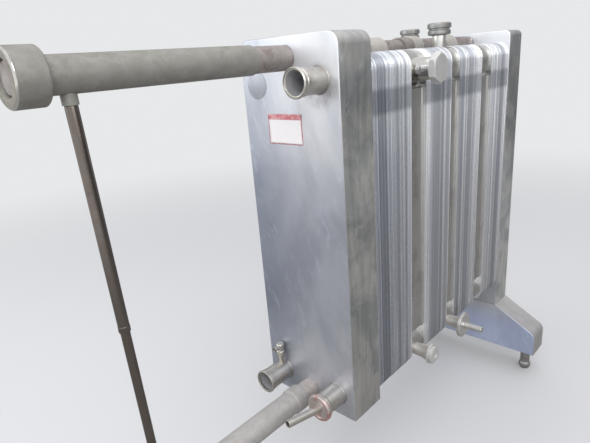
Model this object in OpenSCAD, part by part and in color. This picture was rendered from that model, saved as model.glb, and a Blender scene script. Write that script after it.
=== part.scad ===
// Gasketed plate heat exchanger on a clad frame, with four plate sections,
// three connection grids and threaded dairy unions.
// X runs along the bars from the fixed frame plate to the support leg,
// Y runs across the plates and Z is up, with the floor at zero.

/* [Frame plate and base] */
// Width of the frame plate and of the pressure plate
plate_w = 368; // [340:2:400]
// Height of the frame plate and of the pressure plate above their lower edge
plate_h = 1180; // [1100:10:1300]
// Height of the lower edge of the pressure plate above the floor
plate_clear = 408; // [360:4:460]
// Radius of the two top corners of the pressure plate
plate_corner_r = 36; // [24:1:60]
// Radius of the two top corners of the frame plate
frame_corner_r = 22; // [12:1:40]
// Distance of the top of the frame plate below the top of the pressure plate
frame_top_drop = 14; // [0:1:16]
// Thickness of the clad frame plate
frame_t = 128; // [100:2:150]
// Height of the underside of the frame base above the floor
base_clear = 113; // [95:1:130]
// Height of the level top of the frame base above the floor
base_top = 328; // [300:2:345]
// Width of the frame base over both splayed feet
base_w = 744; // [640:4:820]
// Height of the outer end of each splayed foot
foot_end_h = 106; // [90:2:130]
// Radius of the rounded shoulder of each splayed foot
foot_r = 40; // [20:1:50]

/* [Feet of the frame base] */
// Diameter of each ball foot
ball_d = 52; // [48:1:60]
// Diameter of the flat on which a ball foot stands
ball_flat_d = 34; // [24:1:38]
// Diameter of the thick stem of a ball foot
stem_d = 42; // [30:1:46]
// Diameter of the flange where a stem meets the base
stem_flange_d = 50; // [48:1:60]
// Thickness of the flange where a stem meets the base
stem_flange_t = 12; // [6:1:16]
// Distance of a ball foot from the outer end of the base
ball_edge = 53.5; // [50:0.5:70]

/* [Plate pack] */
// Distance by which the heat transfer plates lie inside the sides of the end plates
pack_side_gap = 2; // [1:0.5:8]
// Distance of the top of the plates below the top of the end plates
pack_top_gap = 59; // [54:1:64]
// Height of the bottom of the plates above the lower edge of the end plates
pack_bottom_gap = 14; // [8:1:20]
// Corner radius of the plates
pack_corner_r = 50; // [30:1:60]
// Depth by which the gaskets lie inside the plate edges
gasket_inset = 5; // [3:0.5:8]
// Distance from one modelled plate to the next
plate_pitch = 9; // [7:0.5:14]
// Thickness of one modelled plate at its pressed edge
plate_edge_t = 5; // [3:0.5:6]
// Length of the section beside the pressure plate
section_1_l = 215; // [150:1:260]
// Length of the second section
section_2_l = 182; // [150:1:240]
// Length of the third section
section_3_l = 189; // [150:1:240]
// Length of the section beside the frame plate
section_4_l = 177; // [150:1:240]

/* [Connection grids] */
// Thickness of the first grid, counted from the pressure plate
grid_1_t = 88; // [76:1:100]
// Thickness of the second grid
grid_2_t = 60; // [56:1:90]
// Thickness of the third grid
grid_3_t = 80; // [56:1:100]
// Width of the upright and level walls of a grid
grid_wall = 26; // [18:1:34]
// Distance of the port centres from the sides of the plates
port_side_edge = 66; // [64:1:74]
// Distance of the upper port centres below the top of the plates
port_top_edge = 61; // [60:1:80]
// Distance of the lower port centres above the bottom of the plates
port_bottom_edge = 66; // [60:1:74]
// Diameter of a round corner block of a grid
block_d = 120; // [110:1:126]
// Gap between a corner block and the grid walls
block_gap = 0.4; // [0.2:0.1:0.8]
// Distance that the grid walls lie inside the plate edges
grid_inset = 8; // [4:1:12]
// Distance from a port centre to the end of the wall beside its corner block
wall_end = 56; // [52:1:62]
// Diameter of the port through a corner block
port_d = 60; // [40:1:70]

/* [Pressure plate] */
// Thickness of the clad pressure plate
pressure_t = 146; // [110:2:170]
// Diameter of the blank port cover
blank_d = 79; // [60:1:95]
// Distance of the centre of the blank port cover from the side of the pressure plate
blank_side_edge = 61; // [50:1:76]
// Distance of the centre of the blank port cover below the top of the pressure plate
blank_top_edge = 128; // [110:1:150]
// Distance that the blank port cover stands proud
blank_t = 4; // [2:0.5:8]

/* [Bars, sleeves and tightening nuts] */
// Diameter of both bars
bar_d = 68; // [60:1:70]
// Distance of the axis of the top bar below the top of the end plates
top_bar_drop = 58; // [56:1:70]
// Height of the axis of the bottom bar above the lower edge of the end plates
bottom_bar_rise = 50; // [44:1:56]
// Running clearance of the bars in their holes, on the diameter
bar_fit = 0.6; // [0.3:0.1:1]
// Bare length of the top bar outside the pressure plate
top_bare_l = 130; // [110:1:160]
// Length of the spacer sleeve on the top bar
top_sleeve_l = 520; // [480:2:600]
// Bare length of the bottom bar outside the pressure plate
bottom_bare_l = 55; // [20:1:80]
// Length of the spacer sleeve on the bottom bar
bottom_sleeve_l = 350; // [300:2:390]
// Outer diameter of the spacer sleeves
sleeve_d = 75; // [74:1:84]
// Outer diameter of the tightening nuts
nut_d = 112; // [94:1:124]
// Length of the tightening nuts
nut_l = 64; // [40:1:90]
// Chamfer of the tightening nuts
nut_chamfer = 4; // [1:0.5:8]
// Outer diameter of the thrust ring on the bottom sleeve
ring_d = 84; // [80:1:104]
// Length of the thrust ring on the bottom sleeve
ring_l = 45; // [20:1:60]
// Diameter of the nuts behind the frame plate
end_nut_d = 96; // [80:1:110]
// Length of the nuts behind the frame plate
end_nut_l = 34; // [20:1:50]
// Reach of both bars into the nuts behind the frame plate
end_nut_reach = 17; // [10:1:19]
// Distance that a bar end lies back inside its tightening nut
bar_recess = 6; // [2:1:15]
// Wall of the saddle rings that hang the grids on the top bar
hanger_wall = 10; // [6:1:18]
// Length of the bush beside the saddle ring of the second grid
bush_l = 58; // [30:1:80]
// Wall of the bush beside the saddle ring of the second grid
bush_wall = 7; // [4:1:12]

/* [Support leg] */
// Distance from the outer end of the top sleeve to the middle of the leg head
leg_inset = 44; // [20:1:60]
// Lean of the leg towards the plates, in degrees
leg_lean = 1.4; // [0:0.1:2]
// Diameter of the upper leg tube
leg_d = 26; // [24:1:28]
// Diameter of the lower leg rod
rod_d = 22; // [16:1:24]
// Height of the joint between leg tube and leg rod above the floor
leg_joint_z = 968; // [600:4:1000]
// Depth of the hole for the leg rod in the leg tube
leg_socket_l = 66; // [40:2:100]
// Length of the leg rod inside the leg tube
leg_insert_l = 56; // [30:2:90]
// Diameter of the leg foot
leg_foot_d = 80; // [60:2:120]
// Thickness of the leg foot plate
leg_foot_t = 10; // [6:1:16]
// Height of the round saddle between the leg and the sleeve
saddle_h = 20; // [12:1:30]
// Diameter of the saddle
saddle_d = 32; // [30:1:44]
// Height by which the saddle hugs the sleeve
saddle_hug_h = 8; // [6:1:14]

/* [Unions and outlets] */
// Outer diameter of the large nozzles on the pressure plate
nozzle_d = 70; // [60:1:80]
// Wall of the nozzles and outlet tubes
tube_wall = 3; // [2:0.5:5]
// Outer diameter of the threaded union on the top nozzle
union_d = 80; // [78:1:100]
// Length of the top nozzle over its union
nozzle_top_l = 98; // [80:1:130]
// Width of each of the two beads of the top union
bead_w = 9; // [6:0.5:11]
// Depth of the groove between the two beads of the top union
groove_depth = 5; // [3:0.5:7]
// Length of the flared nozzle at the lower left
nozzle_left_l = 102; // [90:1:125]
// Length of the straight part of the lower left nozzle
nozzle_left_straight_l = 60; // [40:1:74]
// Diameter of the flared end of the lower left nozzle
flare_d = 78; // [74:1:96]
// Length of the nozzle at the lower right
nozzle_right_l = 82; // [60:1:100]
// Diameter of the clamp flange on the lower right nozzle
clamp_d = 88; // [84:1:110]
// Thickness of a clamp flange
clamp_t = 14; // [8:1:20]
// Distance by which the collar behind a clamp flange is smaller in radius
clamp_step = 4; // [2:0.5:6]
// Thickness of the collars on both lower nozzles
collar_t = 6; // [4:0.5:8]
// Diameter of the drain pipes
drain_d = 24; // [18:1:36]
// Distance of the sample tap from the outer face of the pressure plate
tap_x = 17; // [16:1:32]
// Diameter of the stem of the sample tap
tap_d = 20; // [14:1:24]
// Height of the sample tap above its nozzle
tap_h = 74; // [72:1:90]
// Height of the mouth of the sample tap above its nozzle
tap_mouth_h = 62; // [50:1:64]
// Diameter of the head of the sample tap
tap_head_d = 28; // [26:1:30]
// Height of the head of the sample tap
tap_head_h = 44; // [30:1:56]
// Reach of the mouth of the sample tap in front of its stem
tap_mouth_l = 30; // [22:1:40]
// Outer diameter of the mouth of the sample tap
tap_mouth_d = 18; // [14:1:20]
// Diameter of the hole in the mouth of the sample tap
tap_bore_d = 12; // [8:1:12]
// Length of the drain pipe at the lower right
drain_l = 120; // [60:1:140]
// Angle by which the drain pipe at the lower right is turned towards the bars, in degrees
drain_turn = 9; // [0:1:10]
// Angle by which the drain pipe at the lower right rises, in degrees
drain_rise = 6; // [4:1:10]
// Outer diameter of the grid outlet tubes
outlet_d = 46; // [38:1:54]
// Diameter of the cap on the lower outlet of the first grid
cap_d = 74; // [66:1:90]
// Diameter over the unions of the risers
riser_union_d = 80; // [70:1:94]
// Length of the cap, and of one half of a riser union
outlet_union_l = 20; // [14:1:28]
// Depth of the grooves in the grid outlet unions
union_groove = 7; // [4:0.5:9]
// Distance of the lower side outlets below the lower ports
outlet_drop = 22; // [0:1:26]
// Reach of the straight part of the lower side outlets beyond the plates
flare_start = 12; // [4:1:20]
// Length of the flare of the lower side outlets
flare_l = 36; // [24:1:50]
// Diameter of the flare of the lower side outlets at its mouth
flare_mouth_d = 62; // [56:1:66]
// Diameter of the clamp flange on the second grid
grid_clamp_d = 100; // [84:1:110]
// Length of the drain pipe on the second grid
grid_drain_l = 71; // [40:1:90]
// Outer diameter of the side outlet on the first grid
side_outlet_d = 68; // [50:1:74]
// Reach of the side outlet beyond the first grid
side_outlet_l = 52; // [30:1:65]
// Distance across the flats of the blind nut
hex_flats = 84; // [80:1:96]
// Length of the blind nut
hex_l = 24; // [18:1:40]
// Height of the riser tubes above the plates
riser_h = 38; // [24:1:80]
// Distance of the riser on the third grid outside its port centre
rear_riser_out = 34; // [0:1:36]
// Diameter of the vent plug
vent_d = 10; // [8:1:16]
// Height of the vent plug above the plates
vent_h = 24; // [14:1:40]

/* [Hidden] */
$fn = 64;
// Overlap for cuts
cut = 1;

// Places along X, from the nuts behind the frame plate to the top tightening nut
pack_l = section_1_l + section_2_l + section_3_l + section_4_l + grid_1_t + grid_2_t + grid_3_t;
overall_l = end_nut_l + frame_t + pack_l + pressure_t + top_bare_l + top_sleeve_l + nut_l;
frame_back_x = end_nut_l - overall_l / 2;
frame_front_x = frame_back_x + frame_t;
grid_3_x = frame_front_x + section_4_l;
section_3_x = grid_3_x + grid_3_t;
grid_2_x = section_3_x + section_3_l;
section_2_x = grid_2_x + grid_2_t;
grid_1_x = section_2_x + section_2_l;
section_1_x = grid_1_x + grid_1_t;
pressure_x = section_1_x + section_1_l;
face_x = pressure_x + pressure_t;
top_sleeve_x = face_x + top_bare_l;
top_nut_x = top_sleeve_x + top_sleeve_l;
bottom_ring_x = face_x + bottom_bare_l;
bottom_sleeve_x = bottom_ring_x + ring_l;
bottom_nut_x = bottom_sleeve_x + bottom_sleeve_l;
bar_start_x = frame_back_x - end_nut_reach;

// Heights above the floor
plate_z = plate_clear;
plate_top_z = plate_z + plate_h;
top_axis_z = plate_top_z - top_bar_drop;
bottom_axis_z = plate_z + bottom_bar_rise;
pack_top_z = plate_top_z - pack_top_gap;
pack_bottom_z = plate_z + pack_bottom_gap;
upper_port_z = pack_top_z - port_top_edge;
lower_port_z = pack_bottom_z + port_bottom_edge;

// Width of the plates, and the place of each row of ports across it
pack_w = plate_w - 2 * pack_side_gap;
port_y = pack_w / 2 - port_side_edge;

// Leg head under the top sleeve, and the lengths along the leaning leg
leg_x = top_nut_x - leg_inset;
leg_head_z = top_axis_z - sleeve_d / 2 - saddle_h;
leg_foot_x = leg_x - (leg_head_z - leg_foot_t) * tan(leg_lean);
joint_l = (leg_head_z - leg_joint_z) / cos(leg_lean);
leg_span = (leg_head_z - leg_foot_t) / cos(leg_lean);

// The four port centres of a grid
ports = [
    [-port_y, upper_port_z], [port_y, upper_port_z],
    [-port_y, lower_port_z], [port_y, lower_port_z]
];
// Middle of each grid along X
grid_1_mid = grid_1_x + grid_1_t / 2;
grid_2_mid = grid_2_x + grid_2_t / 2;
grid_3_mid = grid_3_x + grid_3_t / 2;
// Side outlets of the grids
side_y = pack_w / 2;
bottom_outlet_z = lower_port_z - outlet_drop;
mouth_y = side_y + flare_start + flare_l;
// Radius of the ports through the pressure plate and its nozzles
bore_r = nozzle_d / 2 - tube_wall;
// Chamfer of the beads and rims of the unions
bead_edge = 3;
// Clearance where a turned fitting sits on a round one, on the diameter
seat_gap = 0.4;

// Stands a flat shape, drawn in Y and Z, up across the bars, from x to x + l
module across(x, l) {
    translate([x, 0, 0])
        rotate([90, 0, 90])
            linear_extrude(height = l)
                children();
}

// Round bar or tube along X
module rod_x(x, l, d) {
    translate([x, 0, 0])
        rotate([0, 90, 0])
            cylinder(h = l, d = d);
}

// Rectangle with round corners of radius r, or square ones where r is zero
module round_rect(y0, y1, z0, z1, r_top, r_bottom) {
    union() {
        translate([y0, z0 + r_bottom])
            square([y1 - y0, z1 - r_top - z0 - r_bottom]);
        translate([y0 + r_top, z0 + r_bottom])
            square([y1 - y0 - 2 * r_top, z1 - z0 - r_bottom]);
        translate([y0 + r_bottom, z0])
            square([y1 - y0 - 2 * r_bottom, z1 - z0 - r_top]);
        for (y = [y0 + r_top, y1 - r_top])
            translate([y, z1 - r_top])
                circle(r = r_top);
        for (y = [y0 + r_bottom, y1 - r_bottom])
            translate([y, z0 + r_bottom])
                circle(r = r_bottom);
    }
}

// Outline of one end plate from z0 to z1, with top corners of radius r
module end_outline(z0, z1, r) {
    difference() {
        union() {
            translate([-plate_w / 2, z0])
                square([plate_w, z1 - r - z0]);
            translate([-plate_w / 2 + r, z0])
                square([plate_w - 2 * r, z1 - z0]);
            for (s = [-1, 1])
                translate([s * (plate_w / 2 - r), z1 - r])
                    circle(r = r);
        }
        translate([0, top_axis_z])
            circle(d = bar_d + bar_fit);
        translate([0, bottom_axis_z])
            circle(d = bar_d + bar_fit);
    }
}

// Fixed end of the frame: a thick upright slab in stainless cladding
module frame_plate() {
    color("lightsteelblue")
        across(frame_back_x, frame_t)
            end_outline(base_top, plate_top_z - frame_top_drop, frame_corner_r);
}

// Outline of the base, with sloped tops on both splayed feet
module base_outline() {
    half = base_w / 2;
    shoulder_z = base_clear + foot_end_h;
    slope = atan2(base_top - shoulder_z, half - plate_w / 2);
    // The shoulder arc touches the sloped top and the upright end
    arc_y = half - foot_r;
    arc_z = base_top - (arc_y - plate_w / 2) * tan(slope) - foot_r / cos(slope);
    corner_w = foot_r * (1 - sin(slope));
    difference() {
        polygon([
            [-plate_w / 2, base_top], [-half, shoulder_z], [-half, base_clear],
            [half, base_clear], [half, shoulder_z], [plate_w / 2, base_top]
        ]);
        for (s = [0, 1])
            mirror([s, 0])
                difference() {
                    translate([half - corner_w, arc_z])
                        square([corner_w + foot_r, base_top - arc_z]);
                    translate([arc_y, arc_z])
                        circle(r = foot_r);
                }
    }
}

// Splayed box under the frame plate that carries it on two ball feet
module frame_base() {
    color("lightslategray")
        across(frame_back_x, frame_t)
            base_outline();
}

// Ball foot on a thick stem, standing on its flat
module ball_foot() {
    flat_h = ball_d / 2 - sqrt(pow(ball_d / 2, 2) - pow(ball_flat_d / 2, 2));
    color("gray")
        union() {
            translate([0, 0, -flat_h])
                difference() {
                    translate([0, 0, ball_d / 2])
                        sphere(d = ball_d);
                    translate([-ball_d / 2, -ball_d / 2, flat_h - ball_d])
                        cube([ball_d, ball_d, ball_d]);
                }
            translate([0, 0, ball_d / 2])
                cylinder(h = base_clear - ball_d / 2, d = stem_d);
            translate([0, 0, base_clear - stem_flange_t])
                cylinder(h = stem_flange_t, d = stem_flange_d);
        }
}

module left_foot() {
    translate([frame_back_x + frame_t / 2, ball_edge - base_w / 2, 0])
        ball_foot();
}

module right_foot() {
    translate([frame_back_x + frame_t / 2, base_w / 2 - ball_edge, 0])
        ball_foot();
}

// Bar that carries the plates and ties both ends together
module top_bar() {
    color("dimgray")
        translate([0, 0, top_axis_z])
            rod_x(bar_start_x, top_nut_x + nut_l - bar_recess - bar_start_x, bar_d);
}

module bottom_bar() {
    color("dimgray")
        translate([0, 0, bottom_axis_z])
            rod_x(bar_start_x, bottom_nut_x + nut_l - bar_recess - bar_start_x, bar_d);
}

// Blind round nuts on the bar ends behind the frame plate
module bar_end_nuts() {
    color("silver")
        for (z = [top_axis_z, bottom_axis_z])
            translate([frame_back_x, 0, z])
                difference() {
                    rotate([0, -90, 0])
                        union() {
                            cylinder(h = end_nut_l - nut_chamfer, d = end_nut_d);
                            translate([0, 0, end_nut_l - nut_chamfer])
                                cylinder(h = nut_chamfer, d1 = end_nut_d,
                                    d2 = end_nut_d - 2 * nut_chamfer);
                        }
                    rod_x(-end_nut_reach, end_nut_reach + cut, bar_d + bar_fit);
                }
}

// Loose tube round a bar, which the tightening nut pushes towards the plates
module sleeve(x, l) {
    difference() {
        rod_x(x, l, sleeve_d);
        rod_x(x - cut, l + 2 * cut, bar_d + bar_fit);
    }
}

module top_sleeve() {
    color("darkgray")
        translate([0, 0, top_axis_z])
            sleeve(top_sleeve_x, top_sleeve_l);
}

// The bottom sleeve has a thrust ring welded on its inner end
module bottom_sleeve() {
    color("darkgray")
        translate([0, 0, bottom_axis_z])
            difference() {
                union() {
                    rod_x(bottom_ring_x, ring_l, ring_d);
                    rod_x(bottom_sleeve_x, bottom_sleeve_l, sleeve_d);
                }
                rod_x(bottom_ring_x - cut, ring_l + bottom_sleeve_l + 2 * cut, bar_d + bar_fit);
            }
}

// Round nut with chamfered rims
module tightening_nut(x) {
    profile = [
        [(bar_d + bar_fit) / 2, 0], [nut_d / 2 - nut_chamfer, 0], [nut_d / 2, nut_chamfer],
        [nut_d / 2, nut_l - nut_chamfer], [nut_d / 2 - nut_chamfer, nut_l],
        [(bar_d + bar_fit) / 2, nut_l]
    ];
    translate([x, 0, 0])
        rotate([0, 90, 0])
            rotate_extrude()
                polygon(profile);
}

module top_tightening_nut() {
    color("silver")
        translate([0, 0, top_axis_z])
            tightening_nut(top_nut_x);
}

module bottom_tightening_nut() {
    color("silver")
        translate([0, 0, bottom_axis_z])
            tightening_nut(bottom_nut_x);
}

// Round bar along the leg, from l0 to l1 below the leg head
module leg_bar(l0, l1, d) {
    translate([leg_x, 0, leg_head_z])
        rotate([0, leg_lean, 0])
            translate([0, 0, -l1])
                cylinder(h = l1 - l0, d = d);
}

// Round saddle that hugs the underside of the sleeve, with the leg tube below it
module leg_saddle() {
    color("silver")
        difference() {
            leg_bar(-saddle_h - saddle_hug_h, saddle_d, saddle_d);
            translate([leg_x - saddle_d, -saddle_d, leg_head_z - 2 * saddle_d])
                cube([2 * saddle_d, 2 * saddle_d, 2 * saddle_d]);
            translate([0, 0, top_axis_z])
                rod_x(leg_x - 2 * saddle_d, 4 * saddle_d, sleeve_d + bar_fit);
        }
}

// Polished tube, hollow where the lower rod slides into it
module leg_tube() {
    color("gainsboro")
        difference() {
            leg_bar(-leg_d, joint_l, leg_d);
            leg_bar(joint_l - leg_socket_l, joint_l + cut, rod_d + bar_fit);
            translate([leg_x - leg_d, -leg_d, leg_head_z])
                cube([2 * leg_d, 2 * leg_d, 2 * leg_d]);
        }
}

module leg_rod() {
    color("gainsboro")
        difference() {
            leg_bar(joint_l - leg_insert_l, leg_span + rod_d, rod_d);
            translate([leg_foot_x - 2 * rod_d, -rod_d, leg_foot_t - 2 * rod_d])
                cube([4 * rod_d, 2 * rod_d, 2 * rod_d]);
        }
}

// Round foot plate under the leg
module leg_foot() {
    color("gray")
        translate([leg_foot_x, 0, 0])
            cylinder(h = leg_foot_t, d = leg_foot_d);
}

// Movable end of the frame, hung from the top bar, with three open ports
module pressure_plate() {
    color("lightsteelblue")
        difference() {
            across(pressure_x, pressure_t)
                end_outline(plate_z, plate_top_z, plate_corner_r);
            for (p = [[port_y, upper_port_z], [-port_y, lower_port_z], [port_y, lower_port_z]])
                translate([0, p[0], p[1]])
                    rod_x(pressure_x - cut, pressure_t + 2 * cut, 2 * bore_r);
        }
}

// Turned piece along +X from the outer face of the pressure plate
module on_face(y, z) {
    translate([face_x, y, z])
        rotate([0, 90, 0])
            rotate_extrude()
                children();
}

// Blank disc that closes the unused upper port
module blank_port_cover() {
    color("lightsteelblue")
        on_face(blank_side_edge - plate_w / 2, plate_top_z - blank_top_edge)
            polygon([
                [0, 0], [blank_d / 2, 0], [blank_d / 2, blank_t / 2],
                [blank_d / 2 - blank_t / 2, blank_t], [0, blank_t]
            ]);
}

// Nozzle with a two-beaded union end, open at the mouth
module top_nozzle() {
    r_union = union_d / 2;
    r_groove = r_union - groove_depth;
    rim_x = nozzle_top_l - bead_w;
    inner_x = rim_x - 2 * bead_w;
    color("tan")
        on_face(port_y, upper_port_z)
            polygon([
                [bore_r, 0], [nozzle_d / 2, 0], [nozzle_d / 2, inner_x - bead_w],
                [r_union - bead_edge, inner_x], [r_union - bead_edge, inner_x + bead_w],
                [r_groove, inner_x + bead_w + bead_edge], [r_groove, rim_x - bead_edge],
                [r_union, rim_x], [r_union, nozzle_top_l - bead_edge],
                [r_union - bead_edge, nozzle_top_l], [bore_r, nozzle_top_l]
            ]);
}

// Short nozzle that flares to a plain collar
module lower_left_nozzle() {
    color("tan")
        on_face(-port_y, lower_port_z)
            polygon([
                [bore_r, 0], [nozzle_d / 2, 0], [nozzle_d / 2, nozzle_left_straight_l],
                [flare_d / 2, nozzle_left_l - collar_t], [flare_d / 2, nozzle_left_l],
                [flare_d / 2 - collar_t, nozzle_left_l],
                [bore_r, nozzle_left_straight_l + collar_t]
            ]);
}

// Small tap that stands on the lower left nozzle and opens to the front
module sample_tap() {
    stem_h = nozzle_d / 2 + tap_h;
    mouth_z = nozzle_d / 2 + tap_mouth_h;
    head_z = stem_h - tap_head_h;
    color("tan")
        translate([face_x + tap_x, -port_y, lower_port_z])
            difference() {
                union() {
                    cylinder(h = stem_h, d = tap_d);
                    translate([0, 0, head_z])
                        cylinder(h = tap_head_h, d = tap_head_d);
                    translate([0, 0, mouth_z])
                        rod_x(0, tap_mouth_l, tap_mouth_d);
                }
                rod_x(-nozzle_d, 2 * nozzle_d, nozzle_d + seat_gap);
                translate([0, 0, mouth_z])
                    rod_x(0, tap_mouth_l + cut, tap_bore_d);
            }
}

module lower_right_nozzle() {
    r_collar = clamp_d / 2 - clamp_step;
    color("tan")
        on_face(port_y, lower_port_z)
            polygon([
                [bore_r, 0], [nozzle_d / 2, 0], [nozzle_d / 2, nozzle_right_l - 2 * collar_t],
                [r_collar, nozzle_right_l - collar_t], [r_collar, nozzle_right_l],
                [bore_r, nozzle_right_l]
            ]);
}

// Round bar along the drain pipe, from l0 to l1 beyond the outer face of the flange
module drain_bar(l0, l1, d) {
    translate([face_x + nozzle_right_l + clamp_t, port_y, lower_port_z])
        rotate([0, -drain_rise, -drain_turn])
            rod_x(l0, l1 - l0, d);
}

// Flange plate on the lower right nozzle, with the hole for the drain
module lower_right_clamp() {
    color("rosybrown")
        difference() {
            translate([0, port_y, lower_port_z])
                rod_x(face_x + nozzle_right_l, clamp_t, clamp_d);
            drain_bar(-clamp_d, clamp_d, drain_d + bar_fit);
        }
}

// Drain pipe through the flange, cut level with its inner face
module lower_right_drain() {
    color("tan")
        difference() {
            drain_bar(-clamp_d / 2, drain_l, drain_d);
            drain_bar(-clamp_d, drain_l + cut, drain_d - 2 * tube_wall);
            translate([face_x + nozzle_right_l - 2 * clamp_d, port_y - clamp_d, lower_port_z - clamp_d])
                cube([2 * clamp_d, 2 * clamp_d, 2 * clamp_d]);
        }
}

// Outline of a plate or a grid, with the slots that hang it on the bars
module pack_outline(inset) {
    difference() {
        round_rect(-pack_w / 2 + inset, pack_w / 2 - inset, pack_bottom_z + inset,
            pack_top_z - inset, pack_corner_r - inset, pack_corner_r - inset);
        bar_slot(top_axis_z, 1);
        bar_slot(bottom_axis_z, -1);
    }
}

// Slot that is open to the plate edge, upward for s = 1 and downward for s = -1
module bar_slot(z, s) {
    translate([0, z])
        circle(d = bar_d + bar_fit);
    translate([-(bar_d + bar_fit) / 2, s > 0 ? z : z - plate_h / 4])
        square([bar_d + bar_fit, plate_h / 4]);
}

// Stack of pressed plates with the gaskets between them
module plate_section(x, l) {
    n = floor(l / plate_pitch);
    pitch = l / n;
    color("gainsboro")
        union() {
            across(x, l)
                pack_outline(gasket_inset);
            for (i = [0 : n - 1])
                across(x + pitch * (i + 0.5) - plate_edge_t / 2, plate_edge_t)
                    pack_outline(0);
        }
}

module plate_section_1() {
    plate_section(section_1_x, section_1_l);
}

module plate_section_2() {
    plate_section(section_2_x, section_2_l);
}

module plate_section_3() {
    plate_section(section_3_x, section_3_l);
}

module plate_section_4() {
    plate_section(frame_front_x, section_4_l);
}

// Cast frame between two sections, cut away round its four corner blocks
module grid(x, t) {
    edge_y = pack_w / 2 - grid_wall;
    color("wheat")
        difference() {
            across(x, t)
                pack_outline(grid_inset);
            for (p = ports)
                translate([0, p[0], p[1]])
                    rod_x(x - cut, t + 2 * cut, block_d + 2 * block_gap);
            for (s = [-1, 1])
                for (w = [
                    [edge_y, upper_port_z - wall_end, pack_top_z],
                    [edge_y, pack_bottom_z, lower_port_z + wall_end],
                    [port_y - wall_end, pack_top_z - grid_wall, pack_top_z],
                    [port_y - wall_end, pack_bottom_z, pack_bottom_z + grid_wall]
                ])
                    translate([x - cut, s > 0 ? w[0] : -w[0] - plate_w, w[1]])
                        cube([t + 2 * cut, plate_w, w[2] - w[1]]);
        }
}

// Round corner blocks, each with its port bored through
module corner_blocks(x, t) {
    color("burlywood")
        for (p = ports)
            translate([x, p[0], p[1]])
                rotate([0, 90, 0])
                    difference() {
                        cylinder(h = t, d = block_d);
                        translate([0, 0, -cut])
                            cylinder(h = t + 2 * cut, d = port_d);
                    }
}

module grid_1() {
    grid(grid_1_x, grid_1_t);
}

module grid_2() {
    grid(grid_2_x, grid_2_t);
}

module grid_3() {
    grid(grid_3_x, grid_3_t);
}

module grid_1_corner_blocks() {
    corner_blocks(grid_1_x, grid_1_t);
}

module grid_2_corner_blocks() {
    corner_blocks(grid_2_x, grid_2_t);
}

module grid_3_corner_blocks() {
    corner_blocks(grid_3_x, grid_3_t);
}

// Half ring over the top bar, which sits on the plates or on a grid at seat_z
module saddle_ring(x, l, wall, seat_z) {
    ring_r = bar_d / 2 + wall;
    difference() {
        translate([0, 0, top_axis_z])
            rod_x(x, l, 2 * ring_r);
        translate([0, 0, top_axis_z])
            rod_x(x - cut, l + 2 * cut, bar_d + bar_fit);
        translate([x - cut, -2 * ring_r, seat_z - 4 * ring_r])
            cube([l + 2 * cut, 4 * ring_r, 4 * ring_r]);
    }
}

// Saddle rings that hang the three grids on the top bar, the second with a bush
module grid_hangers() {
    color("wheat")
        union() {
            for (g = [[grid_1_x, grid_1_t], [grid_2_x, grid_2_t], [grid_3_x, grid_3_t]])
                saddle_ring(g[0], g[1], hanger_wall, pack_top_z - grid_inset);
            saddle_ring(section_2_x, bush_l, bush_wall, pack_top_z);
        }
}

// Turned piece along +Y, with its profile measured from the middle of the plates,
// seated on the round corner block at block_z
module side_turned(x, z, block_z) {
    difference() {
        translate([x, 0, z])
            rotate([-90, 0, 0])
                rotate_extrude()
                    children();
        translate([0, port_y, block_z])
            rod_x(x - block_d, 2 * block_d, block_d + seat_gap);
    }
}

// Short tube that leaves the first grid sideways beside its upper port
module grid_1_side_outlet() {
    color("silver")
        side_turned(grid_1_mid, upper_port_z, upper_port_z)
            translate([0, port_y])
                square([side_outlet_d / 2, side_y + side_outlet_l - port_y]);
}

// Six-sided blind nut that closes the side outlet
module grid_1_blind_nut() {
    color("silver")
        translate([grid_1_mid, side_y + side_outlet_l, upper_port_z])
            rotate([-90, 30, 0])
                cylinder(h = hex_l, d = hex_flats / cos(30), $fn = 6);
}

// Lower side outlet, which flares to its union, solid up to the sealing face
module flared_outlet(x) {
    side_turned(x, bottom_outlet_z, lower_port_z)
        polygon([
            [0, port_y], [outlet_d / 2, port_y], [outlet_d / 2, side_y + flare_start],
            [flare_mouth_d / 2, mouth_y - bead_edge], [flare_mouth_d / 2, mouth_y], [0, mouth_y]
        ]);
}

module grid_1_bottom_outlet() {
    color("antiquewhite")
        flared_outlet(grid_1_mid);
}

// Grooved blank cap on the lower outlet of the first grid
module grid_1_bottom_cap() {
    r = cap_d / 2;
    l = outlet_union_l;
    color("gray")
        translate([grid_1_mid, mouth_y, bottom_outlet_z])
            rotate([-90, 0, 0])
                rotate_extrude()
                    polygon([
                        [0, 0], [r, 0], [r, l / 2 - bead_edge], [r - union_groove, l / 2],
                        [r - union_groove, l - bead_edge], [r - union_groove - bead_edge, l],
                        [0, l]
                    ]);
}

// Upright tube at y on the upper corner block at block_y
module riser(x, block_y, y) {
    difference() {
        translate([x, y, upper_port_z])
            cylinder(h = pack_top_z + riser_h - upper_port_z, d = outlet_d);
        translate([0, block_y, upper_port_z])
            rod_x(x - block_d, 2 * block_d, block_d + seat_gap);
    }
}

// Union of two grooved discs, closed by its upper disc
module riser_union(x, y) {
    r = riser_union_d / 2;
    l = outlet_union_l;
    translate([x, y, pack_top_z + riser_h])
        rotate_extrude()
            polygon([
                [0, 0], [r - union_groove, 0], [r - bead_edge / 2, bead_edge],
                [r - bead_edge / 2, l - bead_edge], [r - union_groove, l],
                [r, l + bead_edge], [r, 2 * l - bead_edge], [r - bead_edge, 2 * l], [0, 2 * l]
            ]);
}

module grid_2_riser() {
    color("silver")
        riser(grid_2_mid, port_y, port_y);
}

module grid_2_riser_union() {
    color("silver")
        riser_union(grid_2_mid, port_y);
}

module grid_2_bottom_outlet() {
    color("antiquewhite")
        flared_outlet(grid_2_mid);
}

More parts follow.
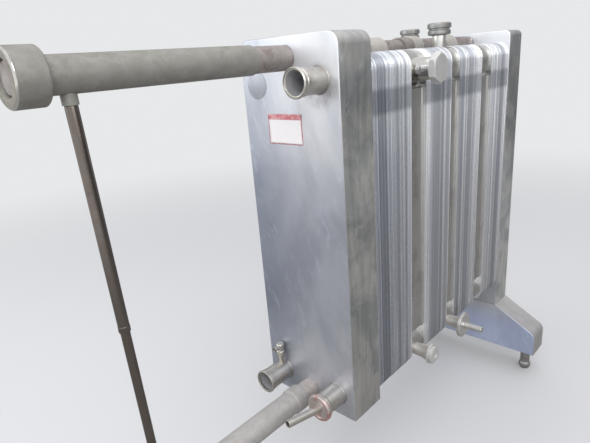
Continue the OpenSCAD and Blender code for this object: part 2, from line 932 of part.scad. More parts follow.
// Clamp flange with the hole for the drain pipe
module grid_2_bottom_clamp() {
    color("tan")
        translate([grid_2_mid, mouth_y, bottom_outlet_z])
            rotate([-90, 0, 0])
                difference() {
                    cylinder(h = clamp_t, d = grid_clamp_d);
                    translate([0, 0, -cut])
                        cylinder(h = clamp_t + 2 * cut, d = drain_d + bar_fit);
                }
}

module grid_2_drain_pipe() {
    color("silver")
        translate([grid_2_mid, mouth_y, bottom_outlet_z])
            rotate([-90, 0, 0])
                difference() {
                    cylinder(h = clamp_t + grid_drain_l, d = drain_d);
                    translate([0, 0, clamp_t])
                        cylinder(h = grid_drain_l + cut, d = drain_d - 2 * tube_wall);
                }
}

// Riser with its union on the hidden side of the third grid
module grid_3_riser() {
    color("silver")
        union() {
            riser(grid_3_mid, -port_y, -port_y - rear_riser_out);
            riser_union(grid_3_mid, -port_y - rear_riser_out);
        }
}

// Small vent plug on the visible upper corner of the third grid
module grid_3_vent_plug() {
    color("white")
        difference() {
            translate([grid_3_mid, port_y, upper_port_z])
                cylinder(h = pack_top_z + vent_h - upper_port_z, d = vent_d);
            translate([0, port_y, upper_port_z])
                rod_x(grid_3_mid - block_d, 2 * block_d, block_d + seat_gap);
        }
}

frame_plate();
frame_base();
left_foot();
right_foot();
top_bar();
bottom_bar();
bar_end_nuts();
top_sleeve();
bottom_sleeve();
top_tightening_nut();
bottom_tightening_nut();
leg_saddle();
leg_tube();
leg_rod();
leg_foot();
pressure_plate();
blank_port_cover();
top_nozzle();
lower_left_nozzle();
sample_tap();
lower_right_nozzle();
lower_right_clamp();
lower_right_drain();
plate_section_1();
plate_section_2();
plate_section_3();
plate_section_4();
grid_1();
grid_2();
grid_3();
grid_1_corner_blocks();
grid_2_corner_blocks();
grid_3_corner_blocks();
grid_hangers();
grid_1_side_outlet();
grid_1_blind_nut();
grid_1_bottom_outlet();
grid_1_bottom_cap();
grid_2_riser();
grid_2_riser_union();
grid_2_bottom_outlet();
grid_2_bottom_clamp();
grid_2_drain_pipe();
grid_3_riser();
grid_3_vent_plug();
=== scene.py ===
# Looks of a gasketed plate heat exchanger on a clad frame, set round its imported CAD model.
# The pieces follow in the order in which the exchanger is put together, from the base up.
import random
from math import asin, cos, degrees, hypot, pi, radians, sin, sqrt
import bmesh
import bpy
from mathutils import Matrix, Vector, noise


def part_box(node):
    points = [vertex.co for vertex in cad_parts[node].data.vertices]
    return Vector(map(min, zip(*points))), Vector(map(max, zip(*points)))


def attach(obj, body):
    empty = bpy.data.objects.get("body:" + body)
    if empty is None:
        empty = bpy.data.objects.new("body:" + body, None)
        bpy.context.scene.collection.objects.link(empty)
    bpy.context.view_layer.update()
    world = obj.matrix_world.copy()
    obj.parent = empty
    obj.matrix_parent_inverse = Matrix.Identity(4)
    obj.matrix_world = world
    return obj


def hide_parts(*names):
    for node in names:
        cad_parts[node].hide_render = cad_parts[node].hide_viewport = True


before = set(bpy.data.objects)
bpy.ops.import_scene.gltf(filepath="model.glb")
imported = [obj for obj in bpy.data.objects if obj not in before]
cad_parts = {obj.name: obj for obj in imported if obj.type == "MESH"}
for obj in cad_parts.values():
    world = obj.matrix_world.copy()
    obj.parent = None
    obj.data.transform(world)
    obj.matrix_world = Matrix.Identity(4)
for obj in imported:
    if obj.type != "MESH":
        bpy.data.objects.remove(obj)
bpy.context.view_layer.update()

# ---- Frame base ----
# The splayed base is a box of thin stainless sheet, folded over its edges and welded shut.
# The sheet is brushed upright, wiped with cloths and scratched by years of washing down.


def fill(socket, value):
    """Links a socket to a mask or an output, or sets it to a value. A colour comes without its alpha."""
    source = getattr(value, "socket", value)
    if isinstance(source, bpy.types.NodeSocket):
        socket.id_data.links.new(source, socket)
    else:
        socket.default_value = (*value, 1) if socket.type == "RGBA" else value


def add(tree, kind, values=(), **settings):
    """Adds one shader node. values pairs an input, by name or number, with what fills it."""
    made = tree.nodes.new("ShaderNode" + kind)
    for key, value in settings.items():
        setattr(made, key, value)
    for key, value in dict(values).items():
        fill(made.inputs[key], value)
    return made


class Mask:
    """The output of a shader node, which multiplies and adds like a number."""

    def __init__(self, socket):
        self.socket, self.tree = socket, socket.id_data

    def math(self, operation, *other):
        values = dict(enumerate((self, *other)))
        return Mask(add(self.tree, "Math", values, operation=operation).outputs[0])

    def __mul__(self, other):
        return self.math("MULTIPLY", other)

    def __add__(self, other):
        return self.math("ADD", other)

    def ramp(self, low, high, start=0.0, end=1.0):
        """Runs smoothly from start to end while the mask runs from low to high."""
        steps = {"Value": self, "From Min": low, "From Max": high, "To Min": start, "To Max": end}
        return Mask(add(self.tree, "MapRange", steps, interpolation_type="SMOOTHSTEP").outputs[0])


def over(share, under, upper, blend="MIX"):
    """Lays one colour over another, by a share from 0 to 1."""
    tree = next(one.tree for one in (share, under) if isinstance(one, Mask))
    colours = {0: share, 6: under, 7: upper}
    return Mask(add(tree, "Mix", colours, data_type="RGBA", blend_type=blend).outputs[2])


def tinted(share, colour, tint):
    """Multiplies a colour by a tint, by a share from 0 to 1."""
    return over(share, colour, tint, "MULTIPLY")


def mottle(tree, size, tilt=(0, 0, 0), detail=3.0, rough=0.55, twist=0.0):
    """Noise from 0 to 1 whose spots have this size along X, Y and Z, in metres, turned by tilt."""
    place = add(tree, "TexCoord").outputs["Object"]
    spread = add(tree, "Mapping", {"Vector": place, "Rotation": tilt, "Scale": size}, vector_type="TEXTURE")
    spots = {"Vector": spread.outputs[0], "Scale": 1.0, "Detail": detail, "Roughness": rough, "Distortion": twist}
    return Mask(add(tree, "TexNoise", spots).outputs[0])


def split_place(tree):
    """X, Y and Z of the shaded spot in the exchanger's frame, in metres."""
    place = add(tree, "SeparateXYZ", {0: add(tree, "TexCoord").outputs["Object"]})
    return [Mask(place.outputs[axis]) for axis in "XYZ"]


def shader_effect(name, inputs):
    """An empty shader group, and its inputs as masks. A tuple stands for a colour and a number for a value."""
    group = bpy.data.node_groups.new(name, "ShaderNodeTree")
    outputs = {"Colour": (0, 0, 0), "Roughness": 0.0, "Height": 0.0}
    for side, sockets in (("INPUT", inputs), ("OUTPUT", outputs)):
        for key, value in sockets.items():
            is_colour = isinstance(value, tuple)
            kind = "NodeSocketColor" if is_colour else "NodeSocketFloat"
            made = group.interface.new_socket(key, in_out=side, socket_type=kind)
            made.default_value = (*value, 1) if is_colour else value
    given = group.nodes.new("NodeGroupInput").outputs
    return group, {key: Mask(given[key]) for key in inputs}


def put_out(effect, colour, roughness, height):
    """Ends an effect with what it puts out."""
    ends = effect.nodes.new("NodeGroupOutput").inputs
    for key, value in (("Colour", colour), ("Roughness", roughness), ("Height", height)):
        fill(ends[key], value)


def surface(name, effect, relief, depth, metallic, **marks):
    """A material that takes colour, roughness and relief from an effect, which gets these marks."""
    made = bpy.data.materials.new(name)
    made.use_nodes = True
    tree = made.node_tree
    shader = tree.nodes["Principled BSDF"].inputs
    given = {key.replace("_", " ").title(): value for key, value in marks.items()}
    seen = add(tree, "Group", given, node_tree=effect).outputs
    bump = add(tree, "Bump", {"Height": seen["Height"], "Strength": relief, "Distance": depth})
    fill(shader["Metallic"], metallic)
    fill(shader["Base Color"], seen["Colour"])
    fill(shader["Roughness"], seen["Roughness"])
    fill(shader["Normal"], bump.outputs[0])
    return made


wiped_sheet, given = shader_effect("wiped sheet", {
    "Colour": (0.5, 0.5, 0.5), "Dirt Colour": (0.3, 0.25, 0.2), "Roughness": 0.3,
    "Cloud": 0.5, "Wipes": 0.5, "Scratches": 0.5, "Dirt": 0.3, "Dull Side": 0.5,
    "Low Dull": 0.0, "Stains": 0.0, "Foot Tint": (1, 1, 1)})
tree = wiped_sheet
x, y, z = split_place(tree)
cloud = mottle(tree, (0.30, 0.24, 0.34), detail=5, twist=0.6)
haze = mottle(tree, (0.05, 0.05, 0.40), tilt=(0.16, -0.1, 0), detail=4)
brushed = mottle(tree, (0.0016, 0.0016, 0.16), detail=2)
wipes = mottle(tree, (0.022, 0.022, 0.42), tilt=(0.42, -0.3, 0), detail=3, twist=1.2).ramp(0.56, 0.74)
fine = mottle(tree, (0.0011, 0.0011, 0.07), tilt=(0.5, -0.45, 0.2), detail=1).ramp(0.70, 0.76)
cross = mottle(tree, (0.0012, 0.0012, 0.05), tilt=(-0.7, 0.6, 0.1), detail=1).ramp(0.72, 0.77)
scores = (fine + cross) * given["Scratches"]
hung = mottle(tree, (0.03, 0.03, 0.30), detail=5, rough=0.6, twist=0.8).ramp(0.38, 0.66)
patches = mottle(tree, (0.20, 0.20, 0.17), detail=4, twist=0.8).ramp(0.42, 0.60)
grime = mottle(tree, (0.06, 0.06, 0.16), detail=6, rough=0.65).ramp(0.48, 0.68) * given["Dirt"]
grime = grime * (z.ramp(0.95, 0.30) + 0.25)
shade = tinted(cloud.ramp(0.36, 0.66) * given["Cloud"], given["Colour"], (0.66, 0.66, 0.70))
shade = tinted(haze.ramp(0.40, 0.68) * (given["Cloud"] * 0.5), shade, (0.78, 0.80, 0.84))
# Painted shade: the sheet is darkened and blued towards its -Y side.
shade = tinted(y.ramp(0.05, -0.17) * given["Dull Side"], shade, (0.62, 0.67, 0.76))
shade = tinted(given["Stains"] * hung, shade, (0.78, 0.79, 0.79))
shade = tinted(given["Stains"] * patches, shade, (0.68, 0.72, 0.74))
# Painted shade and painted light: the side of the near end gets a painted dark band under its top and a painted light
# band half way down; that of the far end is painted lighter below.
near_painted_bands = given["Stains"] * x.ramp(-0.2, 0.1)
far_painted_band = given["Stains"] * x.ramp(0.1, -0.2)
shade = tinted(near_painted_bands * (z.ramp(1.33, 1.41) * z.ramp(1.52, 1.46)), shade, (0.70, 0.72, 0.74))
shade = tinted(near_painted_bands * (z.ramp(1.02, 1.15) * z.ramp(1.31, 1.21)), shade, (1.35, 1.34, 1.31))
shade = tinted(far_painted_band * z.ramp(1.18, 0.98), shade, (1.45, 1.45, 1.48))
shade = over(wipes * (given["Wipes"] * 0.5), shade, (0.80, 0.82, 0.88))
shade = over(scores * 0.5, shade, (0.85, 0.86, 0.90))
shade = over(grime, shade, given["Dirt Colour"])
# Painted highlight along the top of the front sheet, and painted shade as it goes down.
bright = z.ramp(1.41, 1.50) * given["Low Dull"] * y.ramp(-0.20, 0.08, 0.25, 1.0)
shade = over(bright * cloud.ramp(0.38, 0.60, 0.30, 1.0), shade, (0.90, 0.915, 0.94))
# Painted shade over the lower part of the front sheet.
shade = tinted(z.ramp(1.48, 1.02) * z.ramp(0.45, 0.90, 0.55) * given["Low Dull"], shade, (0.54, 0.56, 0.62))
# The sheet is darker in a mottled patch round and just under the top nozzle.
port = sum(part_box("top_nozzle"), Vector()) / 2
flat = add(tree, "CombineXYZ", {"Y": y, "Z": z}).outputs[0]
away = add(tree, "VectorMath", {0: flat, 1: (0, port.y, port.z - 0.016)}, operation="DISTANCE").outputs["Value"]
nozzle_patch = Mask(away).ramp(0.070, 0.040) * mottle(tree, (0.02, 0.02, 0.03)).ramp(0.35, 0.6, 0.4, 1)
shade = tinted(nozzle_patch * given["Low Dull"], shade, (0.60, 0.58, 0.575))
# Painted reflection: the sheet low down is tinted, blue on the base front.
shade = tinted(z.ramp(0.34, 0.22), shade, given["Foot Tint"])
dull = given["Roughness"] + haze.ramp(0.35, 0.7) * 0.10 + wipes * (given["Wipes"] * 0.12)
put_out(wiped_sheet, shade, dull + bright * 0.16 + grime * 0.25,
        cloud * 5.0 + (brushed * 0.10 + scores * -0.35))


def sheet(name, colour, dirt_colour, **marks):
    """Stainless sheet. marks names what differs from a plain and fairly clean one."""
    plain = {"relief": 0.35, "depth": 0.0016, "metallic": 0.7, "roughness": 0.38,
             "cloud": 0.4, "wipes": 0.5, "scratches": 0.6, "dirt": 0.2, "dull_side": 0.0}
    return surface(name, wiped_sheet, colour=colour, dirt_colour=dirt_colour, **(plain | marks))


base_sheet = sheet("base sheet", (0.50, 0.485, 0.475), (0.40, 0.38, 0.36), metallic=0.5, roughness=0.42, dirt=0.3)
# The front sheet of the base carries a painted blue reflection over its lower part.
base_front = sheet(
    "base front sheet", (0.56, 0.57, 0.60), (0.42, 0.42, 0.44), metallic=0.5, roughness=0.42,
    foot_tint=(1.0, 1.10, 1.38))


def settle(name, mesh, material, stands_for=(), crease=32):
    """Shades a finished mesh, hangs it on the exchanger and hides the CAD nodes it stands for."""
    mesh.materials.clear()
    for one in (material if isinstance(material, (list, tuple)) else [material]):
        mesh.materials.append(one)
    mesh.shade_smooth()
    mesh.set_sharp_from_angle(angle=radians(crease))
    piece = bpy.data.objects.new(name, mesh)
    bpy.context.scene.collection.objects.link(piece)
    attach(piece, "root")
    if stands_for:
        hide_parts(*([stands_for] if isinstance(stands_for, str) else stands_for))
    return piece


def closed_up(name, work, material, stands_for=(), crease=32):
    """Settles a closed bmesh, its faces turned outward."""
    bmesh.ops.recalc_face_normals(work, faces=work.faces)
    mesh = bpy.data.meshes.new(name)
    work.to_mesh(mesh)
    work.free()
    return settle(name, mesh, material, stands_for, crease)


def bridge(work, rings, closed=False):
    """Joins each ring of vertices to the next with faces. A ring may be a single vertex."""
    for one, two in list(zip(rings, rings[1:])) + ([(rings[-1], rings[0])] if closed else []):
        for k in range(max(len(one), len(two))):
            corners = [ring[i % len(ring)] for ring, i in ((one, k), (one, k + 1), (two, k + 1), (two, k))]
            corners = list(dict.fromkeys(corners))
            if len(corners) > 2:
                work.faces.new(corners)


def end_outline(node):
    """Outlines, in Y and Z, of the flat end of a CAD node at its highest X, the outer one first."""
    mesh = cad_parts[node].data
    end_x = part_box(node)[1].x
    ways = {}
    for face in mesh.polygons:
        corners = [mesh.vertices[i].co for i in face.vertices]
        if all(abs(corner.x - end_x) < 2e-5 for corner in corners):
            keys = [(round(corner.y, 5), round(corner.z, 5)) for corner in corners]
            for way in zip(keys, keys[1:] + keys[:1]):
                if not ways.pop(way[::-1], False):
                    ways[way] = True
    follow = {start: end for start, end in ways}
    loops = []
    while follow:
        here = next(iter(follow))
        loop = []
        while here in follow:
            loop.append(here)
            here = follow.pop(here)
        loops.append(loop)

    def area(loop):
        return abs(sum(a[0] * b[1] - b[0] * a[1] for a, b in zip(loop, loop[1:] + loop[:1])))

    return sorted(loops, key=area, reverse=True)


def drawn_in(loop, depth):
    """The loop with every side moved into the material by depth."""
    moved = []
    for i, here in enumerate(loop):
        here, before, after = Vector(here), Vector(loop[i - 1]), Vector(loop[(i + 1) % len(loop)])
        first, second = (here - before).normalized(), (after - here).normalized()
        inward = Vector((-first.y - second.y, first.x + second.x))
        moved.append(here + inward * (depth * min(2 / max(inward.length_squared, 0.5), 2)))
    return moved


def evenly(start, end, steps):
    """Numbers at even steps from start to end."""
    return [start + (end - start) * k / steps for k in range(steps + 1)]


def folded_ends(low_x, high_x, fold, steps=3):
    """Stations along X, each with its depth under the outline, of a box with edges of radius fold."""
    near = [(low_x + fold * (1 - cos(a)), fold * (1 - sin(a))) for a in evenly(0, pi / 2, steps)]
    return near + [(low_x + high_x - x, depth) for x, depth in reversed(near)]


def lofted(name, loops, stations, material, stands_for=()):
    """A closed body along X. Its outer loop follows the stations' depths, and its holes stay as they are."""
    work = bmesh.new()
    ends = [[], []]
    for number, loop in enumerate(loops):
        rings = []
        for x, depth in stations:
            ring = drawn_in(loop, depth) if number == 0 and depth else loop
            rings.append([work.verts.new((x, y, z)) for y, z in ring])
        bridge(work, rings)
        for edges, ring in zip(ends, (rings[0], rings[-1])):
            edges += [work.edges.get(pair) for pair in zip(ring, ring[1:] + ring[:1])]
    for edges in ends:
        bmesh.ops.triangle_fill(work, use_beauty=True, use_dissolve=False, edges=edges)
    piece = closed_up(name, work, material, stands_for)
    piece.modifiers.new("flat faces stay flat", "WEIGHTED_NORMAL").keep_sharp = True
    return piece


def reface(piece, material, chosen):
    """Gives another material to the chosen faces."""
    piece.data.materials.append(material)
    for face in piece.data.polygons:
        if chosen(face):
            face.material_index = len(piece.data.materials) - 1


def clad(name, node, ends, sides, holes=False):
    """A box of sheet with folded edges round a CAD node, in one material at its ends and one at its sides."""
    sheet_fold = 0.004
    low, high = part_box(node)
    loops = end_outline(node)
    piece = lofted(name, loops if holes else loops[:1], folded_ends(low.x, high.x, sheet_fold),
                   ends, node)
    reface(piece, sides, lambda face: abs(face.normal.x) < 0.5)


clad("base_box", "frame_base", base_front, base_sheet)

# ---- Ball feet ----
# Each foot is a turned steel ball with a flat to stand on, and a thick stem over it.
# The stem ends in a flange under the base; the steel is dull and stained.


def axis_of(node, axis="X"):
    """Start, direction, radius and length of a round CAD node along an axis."""
    low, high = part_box(node)
    i = "XYZ".index(axis)
    start, along = (low + high) / 2, Vector()
    start[i], along[i] = low[i], 1
    across = 0 if i else 1
    return start, along, (high[across] - low[across]) / 2, high[i] - low[i]


def eased(profile, ease, closed=False):
    """The profile with its sharp corners cut back by ease and rounded."""
    count = len(profile)
    points = []
    for i, here in enumerate(profile):
        here = Vector(here)
        if not closed and i in (0, count - 1):
            points.append(here)
            continue
        back, ahead = Vector(profile[i - 1]) - here, Vector(profile[(i + 1) % count]) - here
        reach = min(ease, back.length * 0.45, ahead.length * 0.45)
        if reach < 1e-5 or back.angle(ahead) > radians(158):
            points.append(here)
            continue
        start, end = here + back.normalized() * reach, here + ahead.normalized() * reach
        for t in (0, 0.25, 0.5, 0.75, 1):
            points.append(start * (1 - t) ** 2 + here * 2 * t * (1 - t) + end * t ** 2)
    return points


def circle(middle, side, up, radius, count):
    """Points of a circle round its middle, or the middle alone where the radius is nil."""
    if radius < 1e-6:
        return [middle]
    return [middle + side * (radius * cos(a)) + up * (radius * sin(a))
            for a in evenly(0, 2 * pi, count)[:-1]]


def turned(name, profile, places, along, material, stands_for=(), closed=False, ease=0.0008, steps=72):
    """Turned solids on the axis along, one at each place. profile lists distance along the axis and radius."""
    along = Vector(along).normalized()
    side = along.orthogonal().normalized()
    across = along.cross(side)
    profile = eased(profile, ease, closed) if ease else profile
    work = bmesh.new()
    for place in places:
        rings = [circle(Vector(place) + along * reach, side, across, radius, steps) for reach, radius in profile]
        bridge(work, [[work.verts.new(spot) for spot in ring] for ring in rings], closed)
    return closed_up(name, work, material, stands_for)


worn_steel, given = shader_effect("worn steel", {
    "Colour": (0.5, 0.5, 0.5), "Stain Colour": (0.3, 0.2, 0.15), "Roughness": 0.3,
    "Stain": 0.3, "Smudge": 0.4, "Grit": 0.3})
tree = worn_steel
smudge = mottle(tree, (0.03, 0.03, 0.03), detail=5, rough=0.6)
patch = mottle(tree, (0.045, 0.03, 0.04), detail=7, rough=0.68, twist=0.4)
grit = mottle(tree, (0.0022, 0.0022, 0.0022), detail=3)
specks = mottle(tree, (0.006, 0.006, 0.006), detail=2).ramp(0.66, 0.74)
stained = (patch.ramp(0.47, 0.66) + specks * 0.5) * given["Stain"]
shade = tinted(smudge.ramp(0.35, 0.7) * given["Smudge"], given["Colour"], (0.62, 0.61, 0.60))
shade = tinted(grit.ramp(0.4, 0.75) * (given["Grit"] * 0.5), shade, (0.66, 0.64, 0.62))
put_out(worn_steel, over(stained, shade, given["Stain Colour"]),
        given["Roughness"] + smudge.ramp(0.3, 0.7) * (given["Smudge"] * 0.16) + stained * 0.30,
        grit * given["Grit"] + patch * 0.3)


def steel(name, colour, stain_colour, **marks):
    """Steel or rubber with wear. marks names what differs from a fairly stained and gritty one."""
    plain = {"relief": 0.3, "depth": 0.0008, "stain": 0.5, "smudge": 0.4, "grit": 0.5}
    return surface(name, worn_steel, colour=colour, stain_colour=stain_colour, **(plain | marks))


foot_steel = steel(
    "dull foot steel", (0.44, 0.44, 0.43), (0.28, 0.23, 0.18), metallic=0.85, roughness=0.42, smudge=0.6, grit=0.6)
BALL_R, BALL_FLAT_R, STEM_R, FLANGE_R, FLANGE_T = 0.026, 0.017, 0.021, 0.025, 0.012
ball_z = sqrt(BALL_R ** 2 - BALL_FLAT_R ** 2)
low_turn, high_turn = asin(BALL_FLAT_R / BALL_R), pi - asin(STEM_R / BALL_R)
for node in ("left_foot", "right_foot"):
    start, along, _, tall = axis_of(node, "Z")
    neck_z = tall - FLANGE_T
    profile = [(0, 0)] + [(ball_z - BALL_R * cos(a), BALL_R * sin(a)) for a in evenly(low_turn, high_turn, 20)]
    profile += [(neck_z - 0.004, STEM_R), (neck_z - 0.0035, STEM_R - 0.0015), (neck_z, STEM_R - 0.0015),
                (neck_z + 0.0005, FLANGE_R - 0.0005), (neck_z + 0.001, FLANGE_R), (tall, FLANGE_R), (tall, 0)]
    turned(node + "_turned", profile, [start], along, foot_steel, node, ease=0, steps=48)

# ---- Frame plate ----
# The fixed end of the frame is a thick steel slab inside the same folded and welded sheet.
# Its weld to the base shows as a low bead all round.
# The front sheet carries a painted highlight along its top and painted shade lower down and towards -Y; the side
# sheet carries stains with painted dark and light bands.
cladding = sheet(
    "brushed cladding", (0.72, 0.725, 0.745), (0.38, 0.36, 0.34), cloud=0.65, wipes=0.8, scratches=0.9, dull_side=0.7,
    low_dull=0.8)
side_cladding = sheet(
    "stained side cladding with painted bands", (0.55, 0.54, 0.51), (0.33, 0.31, 0.28), cloud=0.5, scratches=0.8, dirt=0.25,
    dull_side=0.3, low_dull=0.1, stains=1.0)
clad("frame_slab", "frame_plate", cladding, side_cladding)


def weld_seam(name, path, bead, material, ripple=0.0045, sides=7):
    """A rippled weld bead along a closed path of points."""
    points = []
    for start, end in zip(path, path[1:] + path[:1]):
        start, end = Vector(start), Vector(end)
        steps = max(1, round((end - start).length / (ripple / 3)))
        points += [start.lerp(end, k / steps) for k in range(steps)]
    work = bmesh.new()
    rings = []
    for i, here in enumerate(points):
        run = (points[(i + 1) % len(points)] - points[i - 1]).normalized()
        side = run.cross(Vector((0.3, 0.2, 0.93))).normalized()
        up = run.cross(side)
        size = bead * (0.86 + 0.14 * cos(2 * pi * i / 3))
        rings.append([work.verts.new(spot) for spot in circle(here, side, up, size, sides)])
    bridge(work, rings, closed=True)
    return closed_up(name, work, material, crease=60)


weld_metal = steel(
    "weld metal", (0.46, 0.45, 0.44), (0.30, 0.24, 0.19), depth=0.0006, metallic=1.0, roughness=0.38, stain=0.35,
    smudge=0.5)
seam_z, seam_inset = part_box("frame_base")[1].z, 0.0035
low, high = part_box("frame_plate")
low_x, low_y, high_x, high_y = low.x + seam_inset, low.y + seam_inset, high.x - seam_inset, high.y - seam_inset
corners = [(low_x, low_y), (high_x, low_y), (high_x, high_y), (low_x, high_y)]
weld_seam("base_weld", [(x, y, seam_z) for x, y in corners], 0.0045, weld_metal)

# ---- Bars ----
# Two solid round bars tie both ends of the frame together and carry the plates between them.
# They are plain steel: the top one is browned and stained, and the lower one is paler.
bar_steel = steel(
    "stained bar steel", (0.34, 0.31, 0.295), (0.22, 0.175, 0.16), relief=0.4, depth=0.0010, metallic=0.5,
    roughness=0.42, stain=0.7, smudge=0.5, grit=0.6)
pale_bar = steel(
    "pale lower bar steel", (0.55, 0.505, 0.48), (0.40, 0.33, 0.30), metallic=0.4, roughness=0.42, grit=0.3)
for node, material in (("top_bar", bar_steel), ("bottom_bar", pale_bar)):
    start, along, _, reach = axis_of(node)
    bar_r = start.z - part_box(node)[0].z
    thread_start, thread_r, ring_step = reach - 0.08, bar_r - 0.0015, 0.2
    count = round((thread_start - 0.01) / ring_step)
    profile = [(0, 0), (0, bar_r - 0.003), (0.003, bar_r)]
    profile += [(x, bar_r) for x in evenly(0.01, thread_start, count)]
    profile += [(thread_start + 0.004, thread_r), (reach - 0.004, thread_r), (reach, bar_r - 0.005), (reach, 0)]
    turned(node + "_turned", profile, [start], along, material, node, ease=0.0006)

# ---- Nuts behind the frame plate ----
# Round blind nuts pull the bars up against the back of the frame plate.
# They are turned stainless, with a chamfered rim, a shallow groove and a dimple at the middle.
fitting_steel = steel(
    "satin fitting steel", (0.70, 0.69, 0.665), (0.42, 0.37, 0.31), relief=0.08, depth=0.0005, metallic=0.8,
    roughness=0.26, stain=0.14, smudge=0.3, grit=0.1)
low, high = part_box("bar_end_nuts")
nut_r, nut_l = (high.y - low.y) / 2, high.x - low.x
turned("end_nuts_turned", [(0, 0), (0, nut_r - 0.001), (0.001, nut_r), (nut_l * 0.35, nut_r),
       (nut_l * 0.36, nut_r - 0.0025), (nut_l * 0.4, nut_r - 0.0025), (nut_l * 0.41, nut_r), (nut_l - 0.005, nut_r),
       (nut_l, nut_r - 0.005), (nut_l, 0.020), (nut_l - 0.003, 0.017), (nut_l - 0.003, 0)],
       [(high.x, 0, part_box(bar)[0].z + bar_r) for bar in ("top_bar", "bottom_bar")], (-1, 0, 0), fitting_steel,
       "bar_end_nuts", ease=0.0006)

# ---- Plate sections ----
# Each section is a stack of thin pressed stainless plates, slotted over both bars.
# Their rolled edges show as fine bright ribs, with the dark rims of the gaskets set back between them.
# A painted dark reflection band runs round them below the top.
pressed_edge, given = shader_effect("pressed plate edge", {
    "Colour": (0.6, 0.6, 0.6), "Dirt Colour": (0.3, 0.28, 0.25), "Roughness": 0.2, "Contrast": 0.5, "Dirt": 0.3})
tree = pressed_edge
x, _, z = split_place(tree)
plate_tone = Mask(add(tree, "Attribute", attribute_name="plate_tone", attribute_type="GEOMETRY").outputs["Fac"])
drawn = mottle(tree, (0.0035, 0.05, 0.45), detail=3)
ticks = mottle(tree, (0.0025, 0.01, 0.012), detail=1).ramp(0.70, 0.78)
splash = mottle(tree, (0.03, 0.05, 0.22), detail=5, rough=0.6).ramp(0.42, 0.70) * (z.ramp(1.15, 0.45) + 0.18)
dark = tinted(1.0, given["Colour"], (0.42, 0.43, 0.46))
shade = over(plate_tone * given["Contrast"], given["Colour"], dark)
shade = over(drawn.ramp(0.42, 0.70) * (given["Contrast"] * 0.4), shade, dark)
shade = over(ticks * 0.2, shade, (0.95, 0.95, 0.98))
shade = over(plate_tone.ramp(-0.1, -0.6), shade, (0.97, 0.97, 0.98))
shade = over(splash * given["Dirt"], shade, given["Dirt Colour"])
# Painted shade: the plates darken downward, most of all those next to the pressure plate, whose upper half is
# darkened too.
shade = tinted(z.ramp(1.38, 1.02) * x.ramp(-0.15, 0.05, 0.2, 1.0), shade, (0.68, 0.69, 0.73))
shade = tinted(x.ramp(-0.15, 0.05) * z.ramp(1.02, 1.25), shade, (0.76, 0.77, 0.79))
# Painted reflection: a dark band round the plates below their top.
painted_reflection_band = z.ramp(1.345, 1.365) * z.ramp(1.435, 1.415)
put_out(pressed_edge, tinted(painted_reflection_band * 0.8, shade, (0.46, 0.47, 0.49)),
        given["Roughness"] + (plate_tone * 0.10 + splash * 0.15), drawn + ticks * 0.4)

plate_steel = surface(
    "pressed plate steel", pressed_edge, relief=0.25, depth=0.0006, metallic=0.85, colour=(0.92, 0.93, 0.955),
    dirt_colour=(0.36, 0.35, 0.34), roughness=0.22, contrast=1.0, dirt=0.35)
gasket_rubber = steel(
    "gasket rubber", (0.045, 0.045, 0.05), (0.10, 0.09, 0.08), relief=0.2, depth=0.0005, metallic=0.0, roughness=0.62,
    stain=0.4, smudge=0.5)

PLATE_PITCH, GROOVE_DEPTH, PLATE_CORNER, SLOT_GAP = 0.0046, 0.0036, 0.050, 0.0003
top_axis, bottom_axis = axis_of("top_bar")[0].z, axis_of("bottom_bar")[0].z


def plate_outline(low, high, side_steps=30):
    """Outline of a plate in Y and Z, with its round corners and the slots that hang it on both bars."""
    slot_r = bar_r + SLOT_GAP

    def arc(y, z, radius, start, end, steps):
        turns = evenly(radians(start), radians(end), steps)
        return [(y + radius * cos(a), z + radius * sin(a)) for a in turns]

    r = PLATE_CORNER
    heights = evenly(low.z + r, high.z - r, side_steps)[1:-1]
    loop = [(-slot_r, low.z)] + arc(0, bottom_axis, slot_r, 180, 0, 14) + [(slot_r, low.z)]
    loop += arc(high.y - r, low.z + r, r, -90, 0, 10)
    loop += [(high.y, z) for z in heights]
    loop += arc(high.y - r, high.z - r, r, 0, 90, 12)
    rim = degrees(asin((high.z - top_axis) / slot_r))
    loop += arc(0, top_axis, slot_r, rim, -180 - rim, 16)
    loop += arc(low.y + r, high.z - r, r, 90, 180, 12)
    loop += [(low.y, z) for z in reversed(heights)]
    return loop + arc(low.y + r, low.z + r, r, 180, 270, 10)


